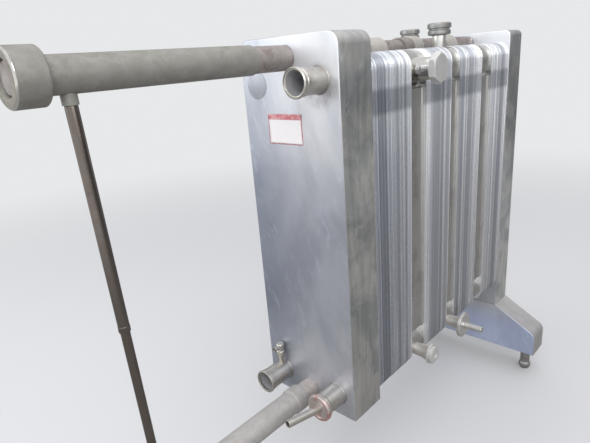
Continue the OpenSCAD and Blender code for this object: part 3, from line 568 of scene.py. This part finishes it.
def plate_stack(name, node, seed):
    """All plates of one section as one corrugated skin, each plate a little proud, sunk, bent or dull by itself."""
    low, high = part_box(node)
    chance = random.Random(seed)
    count = round((high.x - low.x) / PLATE_PITCH)
    pitch = (high.x - low.x) / count
    outline = plate_outline(low, high)
    depths = {}
    verts, faces, tones, rubber = [], [], [], []
    slow = 0.5
    for plate in range(count):
        slow = min(1, max(0, slow + chance.uniform(-0.45, 0.45)))
        tone = min(1, max(0, slow + chance.uniform(-0.3, 0.3)))
        proud = chance.uniform(0.0, 0.0012)
        if plate in (0, count - 1):
            tone, proud = -1.0, 0.0
        shape = [(0.0, GROOVE_DEPTH, 1), (0.10, GROOVE_DEPTH, 1), (0.17, 0.0012, 0), (0.32, 0.0003, 0),
                 (0.5, 0.0, 0), (0.68, 0.0003, 0), (0.83, 0.0012, 0), (0.90, GROOVE_DEPTH, 1)]
        if plate == 0:
            shape = [(0.0, 0.0010, 0)] + shape[2:]
        if plate == count - 1:
            shape = shape[:-2] + [(1.0, 0.0010, 0)]
        for share, depth, groove in shape:
            depth = round(depth + proud * (depth < GROOVE_DEPTH), 5)
            if depth not in depths:
                depths[depth] = drawn_in(outline, depth)
            for y, z in depths[depth]:
                bend = 0.0007 * noise.noise(Vector((plate * 0.31 + seed * 7, z * 5.0, 1.5 if y > 0 else 8.5)))
                verts.append((low.x + pitch * (plate + share) + bend * (0 < plate < count - 1), y, z))
                tones.append(tone)
            rubber.append(groove)
    around = len(outline)
    which = []
    for ring in range(len(rubber) - 1):
        start, end = ring * around, (ring + 1) * around
        faces += [(start + i, start + (i + 1) % around, end + (i + 1) % around, end + i) for i in range(around)]
        which += [rubber[ring] * rubber[ring + 1]] * around
    faces += [tuple(reversed(range(around))), tuple(range(len(verts) - around, len(verts)))]
    mesh = bpy.data.meshes.new(name)
    mesh.from_pydata(verts, [], faces)
    mesh.attributes.new("plate_tone", "FLOAT", "POINT").data.foreach_set("value", tones)
    settle(name, mesh, [plate_steel, gasket_rubber], node, crease=50)
    mesh.polygons.foreach_set("material_index", which + [0, 0])


for number in (1, 2, 3, 4):
    plate_stack(f"plates_{number}", f"plate_section_{number}", number)

# ---- Connection grids ----
# Between the sections hang three cast stainless grids, which lead the liquids in and out.
# Their walls are cut away round four turned corner blocks; the castings are matt and cream-grey.
cast_skin, given = shader_effect("cast skin", {
    "Colour": (0.5, 0.5, 0.5), "Dirt Colour": (0.2, 0.18, 0.15), "Roughness": 0.4, "Grain": 0.5, "Dirt": 0.4})
tree = cast_skin
pebble = mottle(tree, (0.0026, 0.0026, 0.0026), detail=4, rough=0.6)
runs = mottle(tree, (0.006, 0.006, 0.18), detail=3)
soiled = mottle(tree, (0.05, 0.05, 0.09), detail=6, rough=0.62).ramp(0.44, 0.70) * given["Dirt"]
shade = over(soiled, given["Colour"], given["Dirt Colour"])
shade = tinted(runs.ramp(0.5, 0.75) * (given["Dirt"] * 0.5), shade, (0.60, 0.58, 0.55))
shade = tinted(pebble.ramp(0.45, 0.7) * (given["Grain"] * 0.35), shade, (0.70, 0.69, 0.67))
put_out(cast_skin, shade, given["Roughness"] + soiled * 0.2, pebble * given["Grain"])

cast_steel = surface(
    "cast grid steel", cast_skin, relief=0.35, depth=0.0010, metallic=0.9, colour=(0.48, 0.475, 0.46),
    dirt_colour=(0.25, 0.235, 0.215), roughness=0.40, grain=0.6, dirt=0.5)
FLANGE, DISH, EDGE, BLOCK_R, BLOCK_RIM, BLOCK_STEP = 0.007, 0.003, 0.0008, 0.060, 0.010, 0.0015
for number in (1, 2, 3):
    node = f"grid_{number}"
    low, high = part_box(node)
    wall = [(low.x, EDGE), (low.x + EDGE, 0), (low.x + FLANGE, 0), (low.x + FLANGE + DISH, DISH)]
    wall += [(low.x + high.x - x, depth) for x, depth in reversed(wall)]
    lofted(f"grid_{number}_walls", end_outline(node)[:1], wall, cast_steel, node)
    low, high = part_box(node + "_corner_blocks")
    length = high.x - low.x
    near = [(0, 0), (0, BLOCK_R - 0.001), (0.001, BLOCK_R), (BLOCK_RIM, BLOCK_R),
            (BLOCK_RIM + BLOCK_STEP, BLOCK_R - BLOCK_STEP)]
    places = [(low.x, s * (high.y - BLOCK_R), z) for s in (-1, 1) for z in (high.z - BLOCK_R, low.z + BLOCK_R)]
    turned(f"grid_{number}_blocks", near + [(length - reach, radius) for reach, radius in reversed(near)], places,
           (1, 0, 0), cast_steel, node + "_corner_blocks", ease=0.0004, steps=80)

# ---- Grid hangers ----
# Half rings over the top bar carry the grids, and a bush keeps the second one in its place.
# The half rings are pale castings, and the bush is brown like the top bar.


def half_ring(inner, outer, seat_z, steps=28):
    """Outline in Y and Z of a ring round the top bar, cut off level at seat_z."""
    loop = []
    for radius, way in ((outer, 1), (inner, -1)):
        cut = asin((seat_z - top_axis) / radius)
        turns = evenly(cut, pi - cut, steps)[::way]
        loop += [(radius * cos(a), top_axis + radius * sin(a)) for a in turns]
    return loop


hanger_cast = surface(
    "pale hanger casting", cast_skin, relief=0.25, depth=0.0008, metallic=0.5, colour=(0.54, 0.515, 0.48),
    dirt_colour=(0.34, 0.31, 0.27), roughness=0.45, grain=0.5, dirt=0.35)
hanger_r, bush_wall, bush_l, ring_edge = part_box("grid_hangers")[1].y, 0.007, 0.058, 0.0015
for number in (1, 2, 3):
    low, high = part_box(f"grid_{number}")
    lofted(f"hanger_{number}", [half_ring(bar_r + SLOT_GAP, hanger_r, high.z)],
           folded_ends(low.x, high.x, ring_edge, 2), hanger_cast, "grid_hangers")
low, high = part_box("plate_section_2")
lofted("hanger_bush", [half_ring(bar_r + SLOT_GAP, bar_r + bush_wall, high.z)],
       folded_ends(low.x, low.x + bush_l, ring_edge, 2), bar_steel)

# ---- Side outlet and blind nut ----
# A short tube leaves the first grid beside its upper port and is closed by a six-sided blind nut.
# The tube is polished and the nut is satin, with its corners chamfered at both ends.
polished_tube = steel(
    "polished tube", (0.72, 0.70, 0.66), (0.40, 0.32, 0.24), relief=0.06, depth=0.0005, metallic=1.0, roughness=0.11,
    stain=0.04, smudge=0.15, grit=0.05)
satin_nut = steel(
    "satin nut steel", (0.68, 0.675, 0.66), (0.44, 0.41, 0.38), relief=0.08, depth=0.0005, metallic=0.45,
    roughness=0.30, stain=0.1, smudge=0.3, grit=0.1)
start, along, tube_r, reach = axis_of("grid_1_side_outlet", "Y")
turned("side_outlet_turned", [(0, 0), (0, tube_r), (reach - 0.004, tube_r), (reach - 0.003, tube_r - 0.002),
       (reach, tube_r - 0.002), (reach, 0)], [start], along, polished_tube, "grid_1_side_outlet")


def six_sided(name, node, material, chamfer=0.0045, steps=96):
    """A hexagon along +Y, its rings held inside the cone of each end's chamfer."""
    low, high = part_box(node)
    start, _, flat_r, depth = axis_of(node, "Y")
    corner_r = (high.z - low.z) / 2
    near = [0.0, 0.0006, 0.0015, 0.0025, 0.0036, chamfer]
    work = bmesh.new()
    rings = []
    for reach in near + [depth - reach for reach in reversed(near)]:
        cone = flat_r - 0.0015 + (corner_r - flat_r + 0.002) * min(1, min(reach, depth - reach) / chamfer)
        ring = []
        for k in range(steps):
            turn = 2 * pi * k / steps
            radius = min(cone, flat_r / cos((turn + pi / 6) % (pi / 3) - pi / 6))
            ring.append(work.verts.new(start + Vector((radius * cos(turn), reach, radius * sin(turn)))))
        rings.append(ring)
    bridge(work, rings)
    work.faces.new(rings[0])
    work.faces.new(rings[-1])
    return closed_up(name, work, material, node, crease=20)


six_sided("blind_nut", "grid_1_blind_nut", satin_nut)

# ---- Lower grid outlets ----
# Low on one side the first two grids have short outlets, which flare to a union.
# The flares are bead-blasted pale; a grooved cap closes one, and a clamp flange holds a drain pipe on the other.
pale_flare = surface(
    "blasted flare", cast_skin, relief=0.2, depth=0.0006, metallic=0.75, colour=(0.74, 0.71, 0.67),
    dirt_colour=(0.45, 0.40, 0.33), roughness=0.42, grain=0.4, dirt=0.3)
NECK_R, FLARE_SHARES = 0.023, (0.2, 0.4, 0.6, 0.8, 1.0)
for number in (1, 2):
    node = f"grid_{number}_bottom_outlet"
    start, along, mouth_r, reach = axis_of(node, "Y")
    plates_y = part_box(f"plate_section_{number}")[1].y - start.y
    flare_y = plates_y + 0.012
    profile = [(0, 0), (0, NECK_R), (plates_y, NECK_R), (flare_y, NECK_R + 0.0005)]
    profile += [(flare_y + t * (reach - 0.003 - flare_y), NECK_R + (mouth_r - NECK_R) * (0.55 * t + 0.45 * t * t))
                for t in FLARE_SHARES]
    turned(f"grid_{number}_flare", profile + [(reach, mouth_r), (reach, 0)], [start], along, pale_flare,
           node)

start, along, r, l = axis_of("grid_1_bottom_cap", "Y")
turned("drain_cap", [(0, 0), (0, r - 0.001), (0.001, r), (l * 0.36, r), (l * 0.42, r - 0.007), (l * 0.62, r - 0.0075),
       (l * 0.66, r - 0.004), (l * 0.86, r - 0.004), (l, r - 0.009), (l, 0.014), (l - 0.003, 0.011), (l - 0.003, 0)],
       [start], along, satin_nut, "grid_1_bottom_cap", ease=0.0006)
drain_hole_r = 0.0123
start, along, r, clamp_l = axis_of("grid_2_bottom_clamp", "Y")
turned("grid_clamp", [(0, drain_hole_r), (0, r - 0.003), (0.003, r), (clamp_l * 0.40, r), (clamp_l * 0.5, r - 0.003),
       (clamp_l * 0.6, r), (clamp_l - 0.003, r), (clamp_l, r - 0.004), (clamp_l, r - 0.018),
       (clamp_l - 0.002, r - 0.021), (clamp_l - 0.002, drain_hole_r)], [start], along, fitting_steel,
       "grid_2_bottom_clamp", closed=True, ease=0.0008)
start, along, r, l = axis_of("grid_2_drain_pipe", "Y")
turned("grid_drain", [(clamp_l, 0), (clamp_l, r - 0.003), (l - 0.0006, r - 0.003), (l, r - 0.0024), (l, r - 0.0008),
       (l - 0.001, r), (0, r), (0, 0)], [start], along, fitting_steel, "grid_2_drain_pipe", ease=0)

# ---- Risers ----
# Satin tubes stand on the upper blocks of the second and third grid, each under a closed union.
# A union is two grooved discs of dull grey steel, screwed together over a liner.
union_steel = steel(
    "dull union steel", (0.35, 0.35, 0.345), (0.21, 0.19, 0.17), relief=0.12, depth=0.0006, metallic=0.7,
    roughness=0.38, stain=0.35, smudge=0.5, grit=0.2)
riser, up, tube_r, riser_l = axis_of("grid_2_riser", "Z")
union, _, r, union_l = axis_of("grid_2_riser_union", "Z")
half = union_l / 2
union_profile = [(0, 0), (0, r - 0.008), (0.003, r - 0.0015), (half - 0.006, r - 0.0015),
                 (half - 0.003, r - 0.005), (half + 0.001, r - 0.006), (half + 0.003, r),
                 (half * 2 - 0.004, r), (half * 2, r - 0.004), (half * 2, r - 0.018),
                 (half * 2 - 0.003, r - 0.021), (half * 2 - 0.003, 0)]
rear = axis_of("grid_3_riser", "Z")[0]
for name, foot, tall, cap, tube_for, union_for in (
        ("riser", riser, riser_l, union, "grid_2_riser", "grid_2_riser_union"),
        ("rear_riser", rear, union.z - rear.z, (rear.x, rear.y, union.z), (), "grid_3_riser")):
    turned(name + "_tube", [(0, 0), (0, tube_r), (tall, tube_r), (tall, 0)], [foot], up, fitting_steel,
           tube_for)
    turned(name + "_union", union_profile, [cap], up, union_steel, union_for)
start, up, r, tall = axis_of("grid_3_vent_plug", "Z")
turned("vent_plug", [(0, 0), (0, r * 0.7), (tall * 0.5, r * 0.7), (tall * 0.52, r), (tall * 0.72, r),
       (tall * 0.74, r * 0.45), (tall * 0.82, r * 0.45), (tall * 0.86, r * 0.6), (tall, r * 0.25), (tall, 0)],
       [start], up, polished_tube, "grid_3_vent_plug", steps=32)

# ---- Pressure plate ----
# The movable end hangs on the top bar: a thick slab in the same brushed sheet, with its ports cut through.
# Its front has a painted highlight along the top and painted shade below, with wipe marks and a few deep scratches.
clad("pressure_slab", "pressure_plate", cladding, side_cladding, holes=True)

# ---- Blank port cover ----
# A low domed stainless disc closes the unused upper port.
# Its sheet is coloured bluer and darker than the cladding round it as painted shade, and takes a weaker share of the
# front sheet's painted highlight and shade.
cover_sheet = sheet("blue-grey cover sheet with painted shade", (0.40, 0.415, 0.455), (0.33, 0.33, 0.34), low_dull=0.5)
start, along, cover_r, cover_t = axis_of("blank_port_cover")
dome = [(cover_t * (1 - 0.8 * t * t), cover_r * t) for t in (0.985, 0.95, 0.9, 0.8, 0.65, 0.5, 0.35, 0.2, 0)]
turned("blank_cover", [(0, 0), (0, cover_r), (cover_t * 0.2, cover_r)] + dome,
       [start], along, cover_sheet, "blank_port_cover", ease=0.0006)

# ---- Nozzles of the pressure plate ----
# Turned dairy nozzles are welded to three ports: one with a beaded union end, one flared, one clamped.
# The stainless is satin and a little yellowed; the bores are paler and dull.
NOZZLE_R, BORE_R, LIP = 0.035, 0.032, 0.006
nozzle_steel = steel(
    "nozzle steel", (0.60, 0.575, 0.53), (0.38, 0.32, 0.26), relief=0.03, depth=0.0005, metallic=0.92, roughness=0.29,
    stain=0.10, grit=0.02)
bore_steel = steel(
    "pale bore steel", (0.42, 0.42, 0.435), (0.30, 0.285, 0.27), relief=0.2, depth=0.0006, metallic=0.1,
    roughness=0.45, stain=0.3, grit=0.3)


def from_axis(face, start):
    """Distance of a face from an axis along X through start."""
    return hypot(face.center.y - start.y, face.center.z - start.z)


def nozzle(name, node, weld_name, profile, bore_r=None, ease=0.0012):
    """A turned nozzle with a ground weld, which runs out to the sheet in a hollow curve, and a pale bore."""
    start, along, _, _ = axis_of(node)
    piece = turned(name, profile, [start], along, nozzle_steel, node, closed=True, ease=ease,
                   steps=96)
    if bore_r:
        reface(piece, bore_steel, lambda face: from_axis(face, start) < bore_r)
    weld = 0.004
    curve = [(weld * (1 - cos(a)), NOZZLE_R + weld * (1 - sin(a))) for a in evenly(0, pi / 2, 6)]
    turned(weld_name, [(0, NOZZLE_R - 0.001)] + curve + [(weld, NOZZLE_R - 0.001)], [start], along, weld_metal,
           closed=True, ease=0)


_, _, r, l = axis_of("top_nozzle")
nozzle("top_nozzle_turned", "top_nozzle", "top_nozzle_weld", [(0, BORE_R), (0, NOZZLE_R), (l - 0.036, NOZZLE_R),
       (l - 0.029, r - 0.003), (l - 0.019, r - 0.003), (l - 0.0165, r - 0.0048), (l - 0.0115, r - 0.0048),
       (l - 0.009, r), (l - 0.0025, r), (l, r - 0.003), (l, BORE_R + 0.004), (l - 0.0035, BORE_R + 0.003),
       (l - 0.004, BORE_R)], BORE_R + 0.0002, ease=0.0010)
_, _, flare_r, l = axis_of("lower_left_nozzle")
flare_start = 0.060
flare_l = l - flare_start - LIP
outside = [(flare_start + flare_l * t, NOZZLE_R + (flare_r - NOZZLE_R) * t * t) for t in (0.25, 0.5, 0.75, 1.0)]
inside = [(flare_start + LIP + flare_l * t, BORE_R + (flare_r - LIP - BORE_R) * t * t) for t in (0.75, 0.5, 0.25, 0)]
nozzle("flared_nozzle", "lower_left_nozzle", "flared_nozzle_weld",
       [(0, BORE_R), (0, NOZZLE_R), (flare_start, NOZZLE_R)] + outside + [(l, flare_r), (l, flare_r - LIP)] + inside,
       BORE_R + 0.0006)
_, _, r, l = axis_of("lower_right_nozzle")
nozzle("clamped_nozzle", "lower_right_nozzle", "clamped_nozzle_weld", [(0, BORE_R), (0, NOZZLE_R),
       (l - 0.014, NOZZLE_R), (l - 0.007, r - 0.001), (l - 0.006, r), (l, r), (l, BORE_R)])

# ---- Sample tap ----
# A small plug tap stands on the flared nozzle, turned from the same stainless.
# Its spout points forward and its bonnet has a groove.
low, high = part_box("sample_tap")
BODY_R, SPOUT_R, SPOUT_RIM_R, SPOUT_BORE_R = 0.014, 0.008, 0.009, 0.006
stem = Vector((low.x + BODY_R, (low.y + high.y) / 2,
               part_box("lower_left_nozzle")[0].z + flare_r + NOZZLE_R - 0.003))
tall, spout = high.z - stem.z, high.x - low.x - BODY_R
turned("tap_body", [(0, 0), (0, 0.010), (tall - 0.046, 0.010), (tall - 0.044, BODY_R), (tall - 0.029, BODY_R),
       (tall - 0.027, 0.0115), (tall - 0.024, 0.0115), (tall - 0.022, BODY_R), (tall - 0.003, BODY_R), (tall, 0.011),
       (tall, 0)], [stem], (0, 0, 1), nozzle_steel, "sample_tap", steps=48)
turned("tap_spout", [(0.008, SPOUT_BORE_R), (spout, SPOUT_BORE_R), (spout, SPOUT_RIM_R), (spout - 0.006, SPOUT_RIM_R),
       (spout - 0.008, SPOUT_R), (0.008, SPOUT_R)], [(stem.x, stem.y, high.z - 0.012)], (1, 0, 0), nozzle_steel,
       closed=True, steps=48)

# ---- Clamp flange and drain ----
# A round clamp flange closes the lower right nozzle, with a small drain pipe set slantwise through its middle.
# Rusty water has dried pink and brown on its face.
stained_clamp = steel(
    "rust-stained clamp", (0.58, 0.52, 0.49), (0.44, 0.17, 0.15), metallic=0.7, roughness=0.38, stain=0.9, grit=0.6)
start, along, r, l = axis_of("lower_right_clamp")
turned("drain_flange", [(0, 0), (0, r - 0.002), (0.002, r), (l - 0.004, r), (l, r - 0.003), (l, r - 0.010),
       (l - 0.003, r - 0.013), (l - 0.003, 0)], [start], along, stained_clamp, "lower_right_clamp",
       steps=96)
DRAIN_L, DRAIN_R = 0.120, 0.012
turn, rise = radians(-9), radians(6)
drain_way = (cos(rise) * cos(turn), cos(rise) * sin(turn), sin(rise))
turned("front_drain", [(-0.0142, DRAIN_R - 0.003), (DRAIN_L - 0.0008, DRAIN_R - 0.003), (DRAIN_L, DRAIN_R - 0.0022),
       (DRAIN_L, DRAIN_R - 0.0008), (DRAIN_L - 0.001, DRAIN_R), (-0.0115, DRAIN_R)], [start + along * l], drain_way,
       nozzle_steel, "lower_right_drain", closed=True, ease=0)

# ---- Sleeves ----
# Loose tubes over both bars carry the push of the tightening nuts to the pressure plate.
# They are dull grey-beige steel with spots and dark rubs; the lower one is paler and starts with a thrust ring.
sleeve_steel = steel(
    "dull sleeve steel", (0.305, 0.30, 0.275), (0.225, 0.215, 0.19), depth=0.0009, metallic=0.35, roughness=0.55)
pale_sleeve = steel(
    "pale lower sleeve steel", (0.47, 0.455, 0.44), (0.36, 0.33, 0.31), relief=0.2, metallic=0.35, roughness=0.5,
    stain=0.4, grit=0.3)
inner_r, RING_L = bar_r + SLOT_GAP, 0.045
start, along, sleeve_r, reach = axis_of("top_sleeve")
turned("top_sleeve_turned", [(0, inner_r), (0, sleeve_r), (reach, sleeve_r), (reach, inner_r)], [start], along,
       sleeve_steel, "top_sleeve", closed=True, ease=0.0012, steps=96)
start, along, ring_r, reach = axis_of("bottom_sleeve")
turned("bottom_sleeve_turned", [(0, inner_r), (0, ring_r - 0.003), (0.003, ring_r), (RING_L - 0.0015, ring_r),
       (RING_L, ring_r - 0.0015), (RING_L, sleeve_r + 0.0015), (RING_L + 0.002, sleeve_r), (reach, sleeve_r),
       (reach, inner_r)], [start], along, pale_sleeve, "bottom_sleeve", closed=True, ease=0.0012,
       steps=96)

# ---- Tightening nuts ----
# Large round nuts at the outer ends of the bars clamp the plate pack. Their chamfered rims are worn bright
# and their end faces are brown with old grease.
greased_face = steel(
    "greased nut face", (0.25, 0.237, 0.195), (0.15, 0.133, 0.10), metallic=0.2, roughness=0.5, smudge=0.5)
CHAMFER = 0.004
for node in ("top_tightening_nut", "bottom_tightening_nut"):
    start, along, outer, reach = axis_of(node)
    piece = turned(node + "_turned", [(0, inner_r), (0, outer - CHAMFER), (CHAMFER, outer), (reach - CHAMFER, outer),
                   (reach, outer - CHAMFER), (reach, inner_r + 0.004), (reach - 0.004, inner_r)], [start], along,
                   sleeve_steel, node, closed=True, ease=0.0012, steps=96)

    def outward(face):
        return face.center.x > start.x + reach - CHAMFER - 0.0005 and face.normal.x > 0.3

    reface(piece, greased_face, outward)
    reface(piece, polished_tube, lambda face: outward(face) and from_axis(face, start) > outer - 0.0035)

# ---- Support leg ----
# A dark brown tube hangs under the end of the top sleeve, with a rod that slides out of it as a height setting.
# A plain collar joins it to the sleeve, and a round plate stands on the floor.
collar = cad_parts["leg_saddle"].data.materials
collar.clear()
collar.append(sleeve_steel)
leg_steel = steel(
    "dark brown leg tube", (0.21, 0.18, 0.16), (0.14, 0.11, 0.09), relief=0.08, depth=0.0005, metallic=1.0,
    roughness=0.20, stain=0.3, smudge=0.3, grit=0.1)
TUBE_R, ROD_R, FERRULE_L, JOINT_Z, LEG_INSET = 0.013, 0.011, 0.015, 0.968, 0.044
foot, up, foot_r, foot_t = axis_of("leg_foot", "Z")
head = Vector((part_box("top_tightening_nut")[0].x - LEG_INSET, 0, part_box("leg_saddle")[0].z))
leg = Vector((foot.x, 0, foot_t)) - head
down, span = leg.normalized(), leg.length
joint = (head.z - JOINT_Z) / -down.z
turned("leg_tube_turned", [(0.0005, 0), (0.0005, TUBE_R), (joint - FERRULE_L - 0.001, TUBE_R),
       (joint - FERRULE_L, TUBE_R + 0.0006), (joint - 0.001, TUBE_R + 0.0006), (joint, TUBE_R - 0.0004), (joint, 0)],
       [head], down, leg_steel, "leg_tube", ease=0.0005, steps=48)
turned("leg_rod_turned", [(joint - 0.03, 0), (joint - 0.03, ROD_R), (span, ROD_R), (span, 0)], [head], down,
       leg_steel, "leg_rod", ease=0, steps=48)
turned("leg_foot_turned", [(0, 0), (0, foot_r - 0.001), (0.001, foot_r), (0.005, foot_r), (foot_t, foot_r - 0.010),
       (foot_t, 0)], [(foot.x, 0, 0)], up, foot_steel, "leg_foot", ease=0.0008)

# ---- Paper label ----
# A plain white label with a red border is stuck to the front of the pressure plate.
# It is thin paper with one corner lifted, and it carries no words.
LABEL_Y, LABEL_Z, BORDER, BANNER = (-0.088, 0.045), (1.291, 1.378), 0.003, 0.016
(middle_y, half_y), (middle_z, half_z) = [((a + b) / 2, (b - a) / 2) for a, b in (LABEL_Y, LABEL_Z)]
paper = bpy.data.materials.new("label paper")
paper.use_nodes = True
tree = paper.node_tree
_, y, z = split_place(tree)
across = (y + -middle_y).math("ABSOLUTE")
upward = z + -middle_z
border = across.ramp(half_y - BORDER - 0.0005, half_y - BORDER + 0.0005) \
    + upward.math("ABSOLUTE").ramp(half_z - BORDER - 0.0005, half_z - BORDER + 0.0005)
red = (border + upward.ramp(half_z - BANNER - 0.0005, half_z - BANNER + 0.0005)).math("MINIMUM", 1.0)
faded = red * mottle(tree, (0.012, 0.012, 0.012), detail=4).ramp(0.30, 0.62, 0.55, 0.95)
soiled = over(mottle(tree, (0.02, 0.02, 0.02), detail=5) * 0.2, (0.84, 0.815, 0.82), (0.66, 0.635, 0.635))
shader = tree.nodes["Principled BSDF"].inputs
fill(shader["Base Color"], over(faded, soiled, (0.52, 0.11, 0.13)))
fill(shader["Roughness"], 0.55)
work = bmesh.new()
CELLS = 12
face_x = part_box("pressure_plate")[1].x
rows = []
for i in range(CELLS + 1):
    rows.append([])
    for j in range(CELLS + 1):
        u, v = i / CELLS, j / CELLS
        lift = 0.0006 + 0.0016 * max(0, u - 0.8) * max(0, v - 0.8) * 25
        rows[-1].append(work.verts.new((face_x + lift, LABEL_Y[0] + u * 2 * half_y, LABEL_Z[0] + v * 2 * half_z)))
for one, two in zip(rows, rows[1:]):
    for j in range(CELLS):
        work.faces.new((one[j], two[j], two[j + 1], one[j + 1]))
mesh = bpy.data.meshes.new("paper_label")
work.to_mesh(mesh)
work.free()
thick = settle("paper_label", mesh, paper).modifiers.new("paper", "SOLIDIFY")
thick.thickness, thick.offset = 0.0004, -1

# ---- Studio ----
# A pale floor fades into the backdrop. Soft lamps stand before the front, over the top, overhead and at the side.
# The world is bright above and grey towards the horizon, so that the bright sheet has something to show.
BACKDROP, FLOOR_R = (0.80, 0.81, 0.82), 20.0
bpy.ops.mesh.primitive_circle_add(vertices=96, radius=FLOOR_R, fill_type="NGON", location=(0, 0, 0))
floor = bpy.context.object
floor.name = "studio_floor"
ground = bpy.data.materials.new("studio floor")
ground.use_nodes = True
tree = ground.node_tree
tree.nodes.clear()
place = add(tree, "TexCoord").outputs["Object"]
x, _, _ = split_place(tree)
seen = Mask(add(tree, "LightPath").outputs["Is Camera Ray"])
matt = add(tree, "BsdfDiffuse", {"Color": over(seen, (0.30, 0.295, 0.29), (0.66, 0.66, 0.67))})
distant = over(x.ramp(-3.0, 5.0), (0.22, 0.23, 0.24), (1.0, 1.0, 1.0))
glow = add(tree, "Emission", {"Color": over(seen, distant, BACKDROP), "Strength": 1.0})
fade = Mask(add(tree, "VectorMath", {0: place}, operation="LENGTH").outputs["Value"]).ramp(2.2, 7.0)
mixed = add(tree, "MixShader", {0: fade, 1: matt.outputs[0], 2: glow.outputs[0]})
add(tree, "OutputMaterial", {"Surface": mixed.outputs[0]})
floor.data.materials.append(ground)

world = bpy.data.worlds.new("studio")
bpy.context.scene.world = world
world.use_nodes = True
tree = world.node_tree
tree.nodes.clear()
aim = add(tree, "SeparateXYZ", {0: add(tree, "TexCoord").outputs["Generated"]})
aim_x, aim_z = Mask(aim.outputs["X"]), Mask(aim.outputs["Z"])
sky = over(aim_z.ramp(0.02, 0.10), (0.10, 0.10, 0.11), (0.50, 0.50, 0.50))
sky = over(aim_x.ramp(0.1, 0.75), sky, (0.95, 0.97, 1.0))
sky = over(aim_z.ramp(0.15, 0.75), sky, (0.86, 0.87, 0.90))
sky = over(Mask(add(tree, "LightPath").outputs["Is Camera Ray"]), sky, BACKDROP)
light = add(tree, "Background", {"Color": sky, "Strength": 1.0})
add(tree, "OutputWorld", {"Surface": light.outputs[0]})

for name, place, target, width, height, power, colour in (
        ("front_window", (3.4, -3.2, 2.8), (0.2, 0, 1.4), 4.2, 2.2, 58, (0.96, 0.98, 1.0)),
        ("top_wash", (2.3, 1.7, 2.9), (0.2, 0, 1.5), 1.6, 1.0, 30, (0.97, 0.98, 1.0)),
        ("ceiling", (0.0, 0.6, 4.2), (0, 0, 0), 4.5, 3.5, 42, (1.0, 0.99, 0.97)),
        ("side_fill", (1.0, 4.2, 2.6), (-0.3, 0, 0.9), 3.0, 2.0, 36, (1.0, 0.99, 0.97))):
    lamp = bpy.data.lights.new(name, "AREA")
    lamp.shape, lamp.size, lamp.size_y, lamp.energy, lamp.color = "RECTANGLE", width, height, power, colour
    holder = bpy.data.objects.new(name, lamp)
    bpy.context.scene.collection.objects.link(holder)
    holder.location = place
    holder.rotation_euler = (Vector(target) - Vector(place)).to_track_quat("-Z", "Y").to_euler()

lens = bpy.data.cameras.new("camera")
lens.sensor_width, lens.lens, lens.clip_start = 36.0, 29.83, 0.02
camera = bpy.data.objects.new("camera", lens)
bpy.context.scene.collection.objects.link(camera)
yaw, pitch, roll = (radians(a) for a in (224.225, -18.130, -4.626))
ahead = Vector((cos(pitch) * cos(yaw), cos(pitch) * sin(yaw), sin(pitch)))
level = ahead.cross(Vector((0, 0, 1))).normalized()
upright = level.cross(ahead)
right = level * cos(roll) + upright * sin(roll)
top = upright * cos(roll) - level * sin(roll)
stand = Matrix((right, top, -ahead)).transposed().to_4x4()
stand.translation = Vector((1.3119, 0.9800, 1.5206))
camera.matrix_world = stand
bpy.context.scene.camera = camera
bpy.context.scene.view_settings.view_transform = "Standard"
